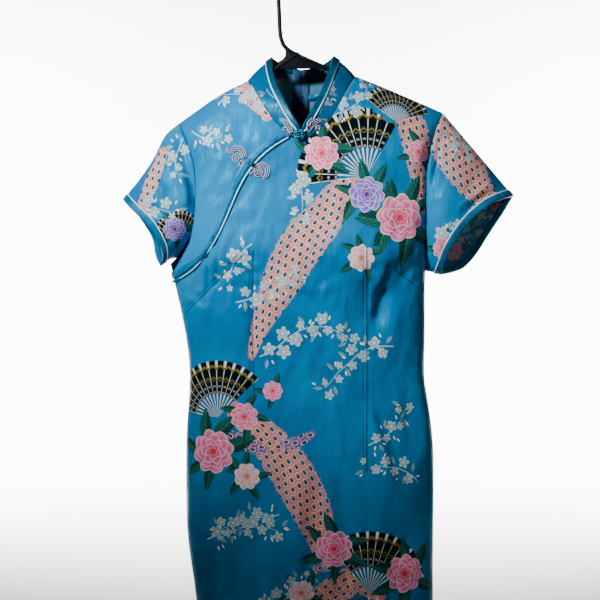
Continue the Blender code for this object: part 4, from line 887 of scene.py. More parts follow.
@dataclass
class Printer:
    """Writes a layout onto a piece of cloth, face by face."""

    layout: Layout
    across: np.ndarray
    down: np.ndarray
    bands: list[Band] = field(init=False)
    marks: list[Mark] = field(init=False)

    def __post_init__(self) -> None:
        """Lay the print out."""
        self.bands, self.marks = self.layout.lay()

    def band_coordinates(
        self, layer: Layer, places: np.ndarray, centres: np.ndarray, reach: np.ndarray
    ) -> np.ndarray:
        """Work out how far along and across the bands of one layer every face corner lies.

        Args:
            layer: the layer.
            places: the corners' places.
            centres: each corner's face centre.
            reach: each corner's face size.

        Returns:
            Corners by 3: for a ribbon its length, share across and half width, and for a twig its
            distance, half width and tone.
        """
        result = np.full((len(places), 3), FAR)
        result[:, 1 if layer is Layer.TWIG else 2] = 1.0
        best = np.full(len(places), np.inf)
        for band in self.bands:
            if band.layer is not layer:
                continue
            path = smooth_path(np.array(band.points), 5)
            widest = path[:, 2].max()
            low, high = path[:, :2].min(axis=0) - widest - 0.02, path[:, :2].max(axis=0) + widest + 0.02
            near = np.where(np.all((centres > low) & (centres < high), axis=1))[0]
            if not len(near):
                continue
            middle, _, share = distance_to_path(centres[near], path[:, :2])
            stations = np.linspace(0, 1, len(path))
            relative = np.abs(middle) / np.interp(share, stations, path[:, 2])
            close = (np.abs(middle) < widest * 1.2 + 2.5 * reach[near]) & (relative < best[near])
            close &= (share > 0.0) & (share < 1.0) | (relative < 1.0)
            near, relative, middle = near[close], relative[close], middle[close]
            if not len(near):
                continue
            best[near] = relative
            signed, along, share = distance_to_path(places[near], path[:, :2])
            signed = np.where((share <= 0.0) | (share >= 1.0), np.copysign(signed, middle), signed)
            width = np.interp(share, stations, path[:, 2])
            if layer is Layer.TWIG:
                result[near] = np.stack([signed, width, np.full(len(near), band.tone)], axis=1)
            else:
                sign = -1.0 if band.tone > 0.5 else 1.0
                result[near] = np.stack([along, signed / width, width * sign], axis=1)
        return result

    def write(self, mesh: bpy.types.Mesh) -> None:
        """Add one attribute for each layer to a mesh of quads.

        Args:
            mesh: the cloth.
        """
        loops, owner = face_corners(mesh)
        places = np.stack([self.across, self.down], axis=1)[loops]
        counts = np.bincount(owner)
        centres = np.zeros((len(counts), 2))
        np.add.at(centres, owner, places)
        centres = (centres / counts[:, None])[owner]
        reach = np.zeros(len(counts))
        np.maximum.at(reach, owner, np.linalg.norm(places - centres, axis=1))
        reach = reach[owner]
        for layer in Layer:
            if layer in (Layer.RIBBON, Layer.TWIG):
                values = self.band_coordinates(layer, places, centres, reach)
            else:
                values = self.mark_coordinates(layer, places, centres, reach)
            write_corners(mesh, layer.value, values)

    def mark_coordinates(
        self, layer: Layer, places: np.ndarray, centres: np.ndarray, reach: np.ndarray
    ) -> np.ndarray:
        """Work out one layer's motif coordinates for every face corner.

        Args:
            layer: the layer.
            places: the corners' places.
            centres: each corner's face centre.
            reach: each corner's face size.

        Returns:
            Corners by 3: two coordinates and the tone.
        """
        result = np.full((len(places), 3), FAR)
        result[:, 2] = 0.0
        best = np.full(len(places), np.inf)
        for mark in self.marks:
            if mark.layer is not layer:
                continue
            local = mark.local(centres)
            distance = np.linalg.norm(local, axis=1)
            near = (distance < 1 + reach / mark.radius) & (distance < best)
            if layer is Layer.FAN:
                lean = np.abs(np.arctan2(local[:, 0], local[:, 1]))
                near &= (lean - FAN_HALF_ANGLE) * distance < 1.5 * reach / mark.radius
            best[near] = distance[near]
            result[near, :2] = mark.local(places[near])
            result[near, 2] = mark.tone
        return result


# ---------------------------------------------------------------- shaping helpers


def smooth_path(points: np.ndarray, steps: int) -> np.ndarray:
    """Draw a smooth curve through points.

    Args:
        points: the points, one a row.
        steps: how many pieces each stretch is cut into.

    Returns:
        The points of the curve.
    """
    padded = np.vstack([2 * points[0] - points[1], points, 2 * points[-1] - points[-2]])
    share = (np.arange(steps) / steps)[:, None]
    curve = []
    for a, b, c, d in zip(padded[:-3], padded[1:-2], padded[2:-1], padded[3:]):
        square, cube = 2 * a - 5 * b + 4 * c - d, 3 * b - a - 3 * c + d
        curve.append(0.5 * (2 * b + (c - a) * share + square * share**2 + cube * share**3))
    return np.vstack([*curve, points[-1:]])


def distance_to_path(points: np.ndarray, path: np.ndarray) -> tuple[np.ndarray, np.ndarray, np.ndarray]:
    """Measure points in the X-Z plane against a path.

    Args:
        points: the points, one a row.
        path: the path's points.

    Returns:
        The signed distance (unsigned past the ends), the length along and the share of the whole.
    """
    steps = np.diff(path, axis=0)
    lengths = np.linalg.norm(steps, axis=1)
    travelled = np.concatenate([[0.0], np.cumsum(lengths)])
    best = np.full(len(points), np.inf)
    signed, along = np.full(len(points), FAR), np.zeros(len(points))
    for i, step in enumerate(steps):
        offset = points - path[i]
        raw = offset @ step / lengths[i] ** 2
        share = np.clip(raw, 0.0, 1.0)
        distance = np.linalg.norm(offset - share[:, None] * step, axis=1)
        near = distance < best
        side = np.where(offset[:, 0] * step[1] - offset[:, 1] * step[0] < 0, -1.0, 1.0)
        past = (i == 0) & (raw < 0) | (i == len(steps) - 1) & (raw > 1)
        side = np.where(past, 1.0, side)
        best[near] = distance[near]
        signed[near] = (distance * side)[near]
        along[near] = travelled[i] + share[near] * lengths[i]
    return signed, along, along / travelled[-1]


def add_object(name: str, vertices: np.ndarray, faces: list, material: bpy.types.Material) -> Blend:
    """Make a smooth-shaded mesh object.

    Args:
        name: the object's name.
        vertices: its points.
        faces: its faces.
        material: its finish.

    Returns:
        The object.
    """
    mesh = bpy.data.meshes.new(name)
    mesh.from_pydata([tuple(v) for v in vertices], [], faces)
    mesh.validate()
    mesh.materials.append(material)
    mesh.polygons.foreach_set("use_smooth", [True] * len(mesh.polygons))
    return show(name, mesh)


def show(name: str, data: bpy.types.ID) -> Blend:
    """Put a mesh, a lamp or a camera into the scene.

    Args:
        name: the object's name.
        data: what it shows.

    Returns:
        The object.
    """
    made = bpy.data.objects.new(name, data)
    bpy.context.scene.collection.objects.link(made)
    return made


def settle(made: Blend, slot: str, *stands_for: str) -> Blend:
    """Let a piece ride on the dress.

    Args:
        made: the piece.
        slot: the material slot; not used.
        *stands_for: the frame nodes that it replaces.

    Returns:
        The piece.
    """
    if stands_for:
        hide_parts(*stands_for)
    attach(made, DRESS_BODY)
    return made


def node_points(*nodes: Blend) -> np.ndarray:
    """Return the points of frame nodes, one a row."""
    return np.array([node.matrix_world @ v.co for node in nodes for v in node.data.vertices])


def tree_of(obj: Blend) -> BVHTree:
    """Prepare an object for measuring."""
    points = [obj.matrix_world @ v.co for v in obj.data.vertices]
    return BVHTree.FromPolygons(points, [p.vertices for p in obj.data.polygons])


def read_points(made: Blend, what: str = "co") -> np.ndarray:
    """Read a value of every point of a piece.

    Args:
        made: the piece.
        what: co for its place or normal for its direction.

    Returns:
        The values, one a row.
    """
    values = np.empty(len(made.data.vertices) * 3)
    made.data.vertices.foreach_get(what, values)
    return values.reshape(-1, 3)


def hang(made: Blend, points: np.ndarray) -> None:
    """Write points into a piece, moved by the dress's small folds."""
    made.data.vertices.foreach_set("co", DRAPE.shift(points).reshape(-1))
    made.data.update()


def face_corners(mesh: bpy.types.Mesh) -> tuple[np.ndarray, np.ndarray]:
    """List the face corners of a mesh.

    Args:
        mesh: the mesh.

    Returns:
        The point and the face of each.
    """
    loops = np.empty(len(mesh.loops), np.int32)
    mesh.loops.foreach_get("vertex_index", loops)
    counts = np.empty(len(mesh.polygons), np.int32)
    mesh.polygons.foreach_get("loop_total", counts)
    return loops, np.repeat(np.arange(len(counts)), counts)


def write_corners(mesh: bpy.types.Mesh, name: str, values: np.ndarray) -> None:
    """Write three values for every face corner into a named attribute."""
    made = mesh.attributes.new(name, "FLOAT_VECTOR", "CORNER")
    made.data.foreach_set("vector", values.reshape(-1).astype(np.float32))


def activate(obj: Blend) -> None:
    """Select one object alone and make it active.

    Args:
        obj: the object.
    """
    bpy.ops.object.select_all(action="DESELECT")
    obj.select_set(True)
    bpy.context.view_layer.objects.active = obj


def face_outwards(obj: Blend, **quads: float) -> None:
    """Point a closed piece's faces outwards, and join its triangles if it comes from the frame.

    Args:
        obj: the piece.
        **quads: the widest angles at which triangles are joined, or nothing.
    """
    activate(obj)
    bpy.ops.object.mode_set(mode="EDIT")
    bpy.ops.mesh.select_all(action="SELECT")
    if quads:
        bpy.ops.mesh.remove_doubles(threshold=MERGE_DISTANCE)
    bpy.ops.mesh.normals_make_consistent(inside=False)
    if quads:
        bpy.ops.mesh.tris_convert_to_quads(**quads)
    bpy.ops.object.mode_set(mode="OBJECT")


def apply_modifier(obj: Blend, kind: str, **settings: object) -> None:
    """Add a modifier to an object and apply it.

    Args:
        obj: the object.
        kind: the modifier's type.
        **settings: its properties.
    """
    activate(obj)
    modifier = obj.modifiers.new(kind.title(), kind)
    for key, value in settings.items():
        setattr(modifier, key, value)
    bpy.ops.object.modifier_apply(modifier=modifier.name)


def tube(path: np.ndarray, radius: float | np.ndarray, sides: int, closed: bool = False) -> Mesh:
    """Sweep a round section along a path.

    Args:
        path: the path's points.
        radius: one radius, or one for each point.
        sides: how many sides the section has.
        closed: whether the path is a loop.

    Returns:
        The points and the faces.
    """
    count = len(path)
    radii = np.broadcast_to(np.asarray(radius, float), (count,))
    ahead = np.roll(path, -1, axis=0) - np.roll(path, 1, axis=0)
    if not closed:
        ahead[0], ahead[-1] = path[1] - path[0], path[-1] - path[-2]
    ahead /= np.linalg.norm(ahead, axis=1)[:, None]
    first = np.array((0.12, -1.0, 0.07))
    rings = []
    for i in range(count):
        first = first - ahead[i] * (first @ ahead[i])
        first /= np.linalg.norm(first)
        second = np.cross(ahead[i], first)
        angles = np.arange(sides) * 2 * math.pi / sides
        circle = np.cos(angles)[:, None] * first + np.sin(angles)[:, None] * second
        rings.append(path[i] + radii[i] * circle)
    faces = []
    for i in range(count if closed else count - 1):
        here, there = i * sides, ((i + 1) % count) * sides
        for k in range(sides):
            faces.append((here + k, here + (k + 1) % sides, there + (k + 1) % sides, there + k))
    if not closed:
        faces.append(tuple(range(sides))[::-1])
        faces.append(tuple((count - 1) * sides + k for k in range(sides)))
    return np.vstack(rings), faces


def merge(parts: list[Mesh]) -> Mesh:
    """Put several meshes into one.

    Args:
        parts: points and faces of each.

    Returns:
        The points and faces of all.
    """
    vertices, faces, start = [], [], 0
    for points, polygons in parts:
        vertices.append(points)
        faces += [tuple(index + start for index in polygon) for polygon in polygons]
        start += len(points)
    return np.vstack(vertices), faces


def round_ends(path: np.ndarray, radius: float, steps: int = 4) -> tuple[np.ndarray, np.ndarray]:
    """Lengthen a path by its two rounded ends.

    Args:
        path: the path's points.
        radius: the rod's radius.
        steps: how many sections each end has.

    Returns:
        The longer path and the radius at each point.
    """
    angles = np.radians(np.linspace(80, 20, steps))
    start = (path[0] - path[1]) / np.linalg.norm(path[0] - path[1])
    end = (path[-1] - path[-2]) / np.linalg.norm(path[-1] - path[-2])
    head = path[0] + np.outer(np.sin(angles) * radius, start)
    tail = path[-1] + np.outer(np.sin(angles[::-1]) * radius, end)
    radii = np.concatenate([np.cos(angles), np.ones(len(path)), np.cos(angles[::-1])]) * radius
    return np.vstack([head, path, tail]), radii


# ---------------------------------------------------------------- how the cloth hangs


@dataclass(frozen=True)
class Crease:
    """A fold of the cloth: a rounded ridge (or a valley, if its height is negative) along a curve."""

    points: tuple[Pair, ...]
    width: float
    height: float

    def rise(self, places: np.ndarray) -> np.ndarray:
        """Return how far the cloth rises at points of the X-Z plane.

        Args:
            places: the points, one a row.

        Returns:
            The rise of each, in metres.
        """
        path = smooth_path(np.array(self.points), 6)
        low, high = path.min(axis=0) - 3.2 * self.width, path.max(axis=0) + 3.2 * self.width
        near = np.all((places > low) & (places < high), axis=1)
        result = np.zeros(len(places))
        distance, _, share = distance_to_path(places[near], path)
        fade = np.clip(np.minimum(share, 1 - share) * 5.0 + 0.12, 0, 1)
        ridge = np.exp(-((distance / self.width) ** 2))
        skew = 1.0 + 0.35 * np.tanh(distance / self.width)
        result[near] = self.height * ridge * skew * fade
        return result


def creases(*rows: tuple[float, ...]) -> tuple[Crease, ...]:
    """Name creases by rows of x and z for each point, then width and height."""
    return tuple(Crease(tuple(zip(row[:-2:2], row[1:-2:2])), *row[-2:]) for row in rows)


@dataclass(frozen=True)
class Dart:
    """A stitched dart: its line and the puckers beside it."""

    points: tuple[Pair, ...]
    depth: float = 0.0012
    pitch: float = 0.021
    stitch_width: float = 0.0032

    def rise(self, places: np.ndarray) -> np.ndarray:
        """Return how far the cloth sinks into the dart's line and rises in its puckers.

        Args:
            places: the points, one a row.

        Returns:
            The rise of each, in metres.
        """
        path = smooth_path(np.array(self.points), 6)
        distance, along, share = distance_to_path(places, path)
        distance = np.abs(distance)
        fade = np.clip(np.minimum(share, 1 - share) * 8.0, 0, 1)
        line = -self.depth * np.exp(-((distance / self.stitch_width) ** 2))
        wave = np.sin(along * 2 * math.pi / self.pitch + distance * 90.0)
        wave = wave + 0.5 * np.sin(along * 2.3 * math.pi / self.pitch)
        return fade * (line + 0.45 * self.depth * wave * np.exp(-((distance - 0.005) / 0.010) ** 2))


@dataclass
class Drape:
    """Moves cloth, trims and fastenings together by the small folds that the frame leaves out."""

    front: tuple[Crease, ...]
    back: tuple[Crease, ...]
    darts: tuple[Dart, ...]
    back_darts: tuple[Dart, ...]
    strength: float = 1.3
    crumple: float = 0.0031

    def rise(self, points: np.ndarray, front: bool) -> np.ndarray:
        """Return how far one side of the dress rises.

        Args:
            points: points of the cloth.
            front: whether it is the front.

        Returns:
            The rise of each, in metres.
        """
        places = points[:, [0, 2]]
        total = np.zeros(len(points))
        for fold in (*(self.front if front else self.back), *(self.darts if front else self.back_darts)):
            total += self.strength * fold.rise(places)
        seed = 3.0 if front else 11.0
        for k, (x, _, z) in enumerate(points):
            broad = noise.noise((x * 26.0 + z * 7.0, seed, z * 15.0 - x * 5.0))
            fine = noise.noise((x * 70.0 - z * 30.0, seed + 5.0, z * 44.0 + x * 20.0))
            total[k] += self.crumple * (broad + 0.45 * fine)
        return total

    def shift(self, points: np.ndarray) -> np.ndarray:
        """Move points of the dress with its small folds.

        Args:
            points: the points, one a row.

        Returns:
            The moved points.
        """
        lean = np.tanh(points[:, 1] / 0.010)
        rise = np.where(points[:, 1] < 0, self.rise(points, True), self.rise(points, False))
        collar = np.clip((-0.20 - points[:, 2]) / 0.05, 0.15, 1.0)
        hem = np.clip((points[:, 2] + 1.185) / 0.03, 0.2, 1.0)
        moved = points.copy()
        moved[:, 1] += lean * np.abs(lean) * rise * collar * hem
        return moved


DRAPE = Drape(
    front=creases(
        (-0.192, -0.238, -0.172, -0.285, -0.154, -0.337, 0.0058, 0.0046),
        (-0.174, -0.232, -0.161, -0.270, -0.146, -0.325, 0.0052, -0.0046),
        (-0.213, -0.290, -0.200, -0.306, -0.190, -0.322, 0.0040, 0.0026),
        (-0.212, -0.357, -0.195, -0.360, -0.176, -0.366, 0.0040, 0.0026),
        (-0.228, -0.330, -0.205, -0.344, -0.190, -0.349, 0.0045, -0.0014),
        (0.2185, -0.209, 0.208, -0.255, 0.1994, -0.300, 0.0040, 0.0032),
        (0.2300, -0.212, 0.219, -0.260, 0.2100, -0.312, 0.0036, 0.0018),
        (0.2235, -0.212, 0.213, -0.258, 0.2045, -0.306, 0.0034, -0.0030),
        (0.304, -0.302, 0.266, -0.321, 0.2405, -0.344, 0.0050, 0.0034),
        (0.300, -0.318, 0.268, -0.332, 0.246, -0.356, 0.0040, -0.0016),
        (0.2185, -0.366, 0.236, -0.392, 0.258, -0.420, 0.0042, 0.0018),
        (0.236, -0.362, 0.256, -0.384, 0.276, -0.396, 0.0042, 0.0015),
        (-0.1343, -0.388, -0.1330, -0.430, -0.1360, -0.476, 0.0036, 0.0018),
        (-0.1211, -0.380, -0.1200, -0.430, -0.1220, -0.480, 0.0036, 0.0020),
        (-0.1064, -0.384, -0.1040, -0.430, -0.1050, -0.476, 0.0034, 0.0018),
        (-0.0917, -0.392, -0.0900, -0.440, -0.0930, -0.490, 0.0034, 0.0016),
        (-0.1280, -0.390, -0.1265, -0.440, -0.1290, -0.485, 0.0030, -0.0016),
        (-0.1140, -0.390, -0.1120, -0.440, -0.1135, -0.485, 0.0030, -0.0016),
        (0.1333, -0.425, 0.118, -0.470, 0.1053, -0.528, 0.0070, 0.0042),
        (0.136, -0.455, 0.128, -0.480, 0.120, -0.520, 0.0150, -0.0060),
        (0.1053, -0.6235, 0.124, -0.680, 0.1435, -0.741, 0.0060, 0.0038),
        (0.120, -0.620, 0.140, -0.675, 0.158, -0.735, 0.0070, -0.0022),
        (0.150, -0.610, 0.160, -0.660, 0.166, -0.700, 0.0070, 0.0018),
        (-0.0946, -0.720, -0.0960, -0.830, -0.1000, -0.960, -0.1020, -1.100, 0.0140, 0.0050),
        (-0.0560, -0.700, -0.0520, -0.840, -0.0500, -1.000, -0.0480, -1.150, 0.0150, -0.0040),
        (0.0080, -0.690, 0.0090, -0.830, 0.0100, -1.000, 0.0110, -1.170, 0.0160, 0.0048),
        (0.0700, -0.720, 0.0760, -0.860, 0.0780, -1.000, 0.0800, -1.150, 0.0150, -0.0040),
        (0.1250, -0.760, 0.1320, -0.900, 0.1360, -1.050, 0.1380, -1.170, 0.0140, 0.0040),
        (-0.0200, -0.430, 0.0150, -0.460, 0.0600, -0.455, 0.0080, 0.0014),
        (-0.0480, -0.520, -0.0100, -0.545, 0.0300, -0.540, 0.0090, -0.0012),
        (0.0600, -0.380, 0.0900, -0.400, 0.1240, -0.430, 0.0070, 0.0013),
        (-0.1100, -0.560, -0.0900, -0.590, -0.0640, -0.600, 0.0060, 0.0016),
        (0.0300, -0.310, 0.0480, -0.345, 0.0500, -0.385, 0.0080, -0.0012),
    ),
    back=creases(
        (-0.120, -0.300, -0.090, -0.380, -0.075, -0.450, 0.0080, 0.0024),
        (0.150, -0.300, 0.115, -0.385, 0.095, -0.460, 0.0080, 0.0024),
        (-0.060, -0.560, -0.010, -0.585, 0.010, -0.590, 0.0060, 0.0018),
        (0.100, -0.555, 0.060, -0.585, 0.030, -0.592, 0.0060, 0.0018),
        (-0.090, -0.700, -0.094, -0.850, -0.098, -1.150, 0.0140, 0.0046),
        (-0.040, -0.700, -0.038, -0.900, -0.038, -1.150, 0.0150, -0.0036),
        (0.060, -0.700, 0.064, -0.900, 0.066, -1.150, 0.0150, 0.0046),
        (0.120, -0.740, 0.126, -0.900, 0.128, -1.150, 0.0140, -0.0036),
    ),
    darts=(
        Dart(((-0.165, -0.4986), (-0.118, -0.452), (-0.0756, -0.4104))),
        Dart(((0.1883, -0.4618), (0.160, -0.441), (0.1317, -0.4227))),
        Dart(((-0.0608, -0.4030), (-0.0622, -0.510), (-0.0590, -0.6235))),
        Dart(((0.1053, -0.3986), (0.1066, -0.560), (0.1053, -0.7293))),
    ),
    back_darts=(
        Dart(((-0.0480, -0.4300), (-0.0500, -0.540), (-0.0480, -0.6600))),
        Dart(((0.0760, -0.4300), (0.0780, -0.540), (0.0760, -0.6600))),
    ),
)


@dataclass
class PatternTable:
    """Flat pattern lengths over one side of the dress, found by running a thread along its rows."""

    trees: list[BVHTree]
    front: bool
    start_x: float
    x_range: Pair
    xs: np.ndarray = field(init=False)
    zs: np.ndarray = field(init=False)
    depth: np.ndarray = field(init=False)
    lengths: np.ndarray = field(init=False)
    step: float = 0.004
    row: float = 0.012
    top: float = -0.10
    low: float = -1.22

    def __post_init__(self) -> None:
        """Measure every row."""
        self.xs = np.arange(self.x_range[0], self.x_range[1] + self.step / 2, self.step)
        self.zs = np.arange(self.low, self.top, self.row)
        self.depth = np.full((len(self.zs), len(self.xs)), np.nan)
        away = -1.0 if self.front else 1.0
        for j, z in enumerate(self.zs):
            for i, x in enumerate(self.xs):
                hits = [t.ray_cast(Vector((x, away, z)), Vector((0, -away, 0)))[0] for t in self.trees]
                hits = [h.y for h in hits if h is not None and h.y * away > -0.004]
                if hits:
                    self.depth[j, i] = min(hits) if self.front else max(hits)
        self.lengths = np.zeros(self.depth.shape)
        middle = int(np.argmin(np.abs(self.xs - self.start_x)))
        for j, depths in enumerate(self.depth):
            known = np.where(~np.isnan(depths))[0]
            if len(known) < 2:
                self.lengths[j] = self.xs - self.xs[middle]
                self.depth[j] = 0.0
                continue
            depths = np.interp(self.xs, self.xs[known], depths[known])
            self.depth[j] = depths
            steps = np.hypot(np.diff(self.xs), np.clip(np.diff(depths), -0.006, 0.006))
            run = np.concatenate([[0.0], np.cumsum(steps)])
            self.lengths[j] = run - run[middle]

    def across(self, points: np.ndarray) -> np.ndarray:
        """Return how far across the flat pattern points lie, as an X measured on the cloth.

        Args:
            points: the points, one a row.

        Returns:
            The flat X of each.
        """
        row = np.clip((points[:, 2] - self.low) / self.row, 0, len(self.zs) - 1.001)
        column = np.clip((points[:, 0] - self.xs[0]) / self.step, 0, len(self.xs) - 1.001)
        j, i = row.astype(int), column.astype(int)
        v, u = row - j, column - i
        flat, depth = 0.0, 0.0
        for dj, wj in ((0, 1 - v), (1, v)):
            for di, wi in ((0, 1 - u), (1, u)):
                flat = flat + wj * wi * self.lengths[j + dj, i + di]
                depth = depth + wj * wi * self.depth[j + dj, i + di]
        side = np.sign(points[:, 0] - self.start_x)
        behind = np.maximum(np.abs(points[:, 1] - depth) - 0.003, 0.0)
        return self.start_x + flat + side * behind


# ---------------------------------------------------------------- cloth pieces


def rounded_copy(name: str, node: Blend, material: bpy.types.Material, levels: int) -> Blend:
    """Copy a node of the frame, join its triangles and round it.

    Args:
        name: the new piece's name.
        node: the frame's node.
        material: the finish.
        levels: how often each face is split.

    Returns:
        The rounded piece, not yet creased.
    """
    mesh = node.data.copy()
    mesh.transform(node.matrix_world)
    mesh.materials.clear()
    mesh.materials.append(material)
    for name_of_attribute in ("sharp_edge", "sharp_face", "custom_normal"):
        if name_of_attribute in mesh.attributes:
            mesh.attributes.remove(mesh.attributes[name_of_attribute])
    made = show(name, mesh)
    face_outwards(made, face_threshold=math.radians(60), shape_threshold=math.radians(150))
    shell = bmesh.new()
    shell.from_mesh(made.data)
    crease = shell.edges.layers.float.get("crease_edge") or shell.edges.layers.float.new("crease_edge")
    for edge in shell.edges:
        if len(edge.link_faces) == 2 and edge.calc_face_angle(0.0) > SHARP_EDGE:
            edge[crease] = 1.0
    shell.to_mesh(made.data)
    shell.free()
    apply_modifier(made, "SUBSURF", levels=levels, render_levels=levels)
    made.data.polygons.foreach_set("use_smooth", [True] * len(made.data.polygons))
    return made


@dataclass
class ClothPiece:
    """One cut piece of printed satin."""

    name: str
    node: str
    layout: Layout
    centre: Pair
    flat: Pair
    area: float
    shift_x: float = 0.0
    darts: tuple[Dart, ...] = ()
    # how far the whole piece is darkened with painted shade
    shade: float = 0.0

    def build(
        self, nodes: dict, material: bpy.types.Material, front: PatternTable, back: PatternTable
    ) -> Blend:
        """Shape the piece, crease it and print it.

        Args:
            nodes: the frame's nodes.
            material: the printed satin.
            front: flat lengths of the front side.
            back: flat lengths of the back side.

        Returns:
            The finished piece.
        """
        made = rounded_copy(self.name, nodes[self.node], material, 2)
        points, normals = read_points(made), read_points(made, "normal")
        outward = points - np.array([*self.centre, 0.0])
        outward[:, 2] = 0.0
        inner = (np.einsum("ij,ij->i", outward, normals) < 0).astype(float)
        across = np.where(points[:, 1] < 0, front.across(points), back.across(points) + self.shift_x)
        Printer(self.layout, across, points[:, 2]).write(made.data)
        self.mark_cloth(made.data, points, inner)
        hang(made, points)
        settle(made, "satin", self.node)
        log.info("%s: %d faces", self.name, len(made.data.polygons))
        return made

    def mark_cloth(self, mesh: bpy.types.Mesh, points: np.ndarray, inner: np.ndarray) -> None:
        """Write how much painted shade darkens the piece, where the darts' stitching runs and which side of
        the cloth is the wrong side.

        Args:
            mesh: the piece.
            points: its points.
            inner: 1 on the wrong side.
        """
        loops, owner = face_corners(mesh)
        nearest, outside = np.full(len(points), FAR), np.ones(len(points), bool)
        for dart in self.darts:
            signed, _, share = distance_to_path(points[:, [0, 2]], smooth_path(np.array(dart.points), 6))
            closer = np.abs(signed) < np.abs(nearest)
            nearest[closer] = signed[closer]
            outside[closer] = ((share <= 0.0) | (share >= 1.0) | (np.abs(signed) > STITCH_REACH))[closer]
        clear = np.zeros(len(mesh.polygons), bool)
        np.logical_or.at(clear, owner, outside[loops])
        across = np.where(clear[owner], np.abs(nearest[loops]), nearest[loops])
        # the first value is the piece's painted shade
        values = np.stack([np.full(len(loops), self.shade), across, inner[loops]], axis=1)
        write_corners(mesh, "cloth", values)


@dataclass
class Trim:
    """A binding, a piping or a tape that takes its shape from the frame."""

    name: str
    node: str
    slot: str

    def build(self, nodes: dict, material: bpy.types.Material) -> Blend:
        """Copy the frame's trim, round it and move it with the cloth.

        Args:
            nodes: the frame's nodes.
            material: the finish.

        Returns:
            The finished trim.
        """
        made = rounded_copy(self.name, nodes[self.node], material, 1)
        hang(made, read_points(made))
        return settle(made, self.slot, self.node)


@dataclass
class PipingBed:
    """The seam allowance that shows as a narrow strip on both sides of a piping."""

    name: str
    middle: Pair
    spread: float = 0.0014
    depth: float = 0.0005

    def build(self, nodes: dict, material: bpy.types.Material) -> Blend:
        """Lay the strip behind the piping.

        Args:
            nodes: the frame's nodes.
            material: its satin.

        Returns:
            The strip.
        """
        made = rounded_copy(f"{self.name}_seam_allowance", nodes[f"{self.name}_piping"], material, 1)
        points, normals = read_points(made), read_points(made, "normal")
        outward = points - np.array([*self.middle, 0.0])
        outward[:, 2] = 0.0
        outward /= np.linalg.norm(outward, axis=1)[:, None]
        flat = normals - outward * np.einsum("ij,ij->i", outward, normals)[:, None]
        hang(made, points + flat * self.spread - outward * self.depth)
        return settle(made, "binding")


@dataclass
class NeckTape:
    """The narrow facing inside the back neck, over the seam of collar and backs."""

    above: float = 0.0034
    below: float = 0.0056
    zip_x: float = 0.0085
    zip_half_width: float = 0.0125
    zip_clearance: float = 0.0016
    inside: float = 0.0006
    thickness: float = 0.0005
    ends: Pair = (-0.066, 0.086)
    lowest: float = -0.175
    station: float = 0.006

    def build(self, nodes: dict, material: bpy.types.Material) -> Blend:
        """Sew the facing along the top edge of the backs.

        Args:
            nodes: the frame's nodes.
            material: its satin.

        Returns:
            The facing.
        """
        points = node_points(nodes["back_left"], nodes["back_right"])
        points = points[points[:, 2] > self.lowest]
        stations = []
        for x in np.arange(self.ends[0] - 0.012, self.ends[1] + 0.013, self.station):
            column = points[np.abs(points[:, 0] - x) < 0.0062]
            if len(column):
                rim = column[column[:, 2] > column[:, 2].max() - 0.0018]
                stations.append((x, rim[:, 1].min(), rim[:, 2].max()))
        xs, ys, zs = np.array(stations).T
        across = np.linspace(*self.ends, 60)
        depth = np.interp(across, xs, ys) - self.inside
        depth += self.zip_clearance * (np.abs(across - self.zip_x) < self.zip_half_width)
        height = np.interp(across, xs, zs)
        face, low, high = depth - self.thickness, height - self.below, height + self.above
        section = ((depth, low), (depth, high), (face, high), (face, low))
        vertices = np.vstack([np.stack([across, y, z], axis=1) for y, z in section])
        count = len(across)
        faces = []
        for k in range(4):
            here, there = k * count, ((k + 1) % 4) * count
            faces += [(here + i, here + i + 1, there + i + 1, there + i) for i in range(count - 1)]
        faces += [(0, count, 2 * count, 3 * count), tuple(k * count + count - 1 for k in (3, 2, 1, 0))]
        return settle(add_object("neck_facing", DRAPE.shift(vertices), faces, material), "binding")


# ---------------------------------------------------------------- fastenings


@dataclass
class Cloth:
    """The finished cloth that cords and knots are sewn to."""

    trees: list[BVHTree]

    def seat(self, x: float, z: float) -> tuple[np.ndarray, np.ndarray]:
        """Find the front of the cloth behind a point of the X-Z plane.

        Args:
            x: the point's X.
            z: the point's Z.

        Returns:
            The place on the cloth and its outward direction.
        """
        found = []
        for tree in self.trees:
            place, normal, _, _ = tree.ray_cast(Vector((x, -0.5, z)), Vector((0, 1, 0)))
            if place is not None:
                found.append((place.y, place, normal))
        if not found:
            found = [(0.0, *tree.find_nearest(Vector((x, -0.06, z)))[:2]) for tree in self.trees]
            found.sort(key=lambda item: (item[1] - Vector((x, -0.06, z))).length)
        _, place, normal = min(found, key=lambda item: item[0])
        outward = np.array(normal if normal.y < 0 else -normal)
        return np.array([x, place.y, z]), outward


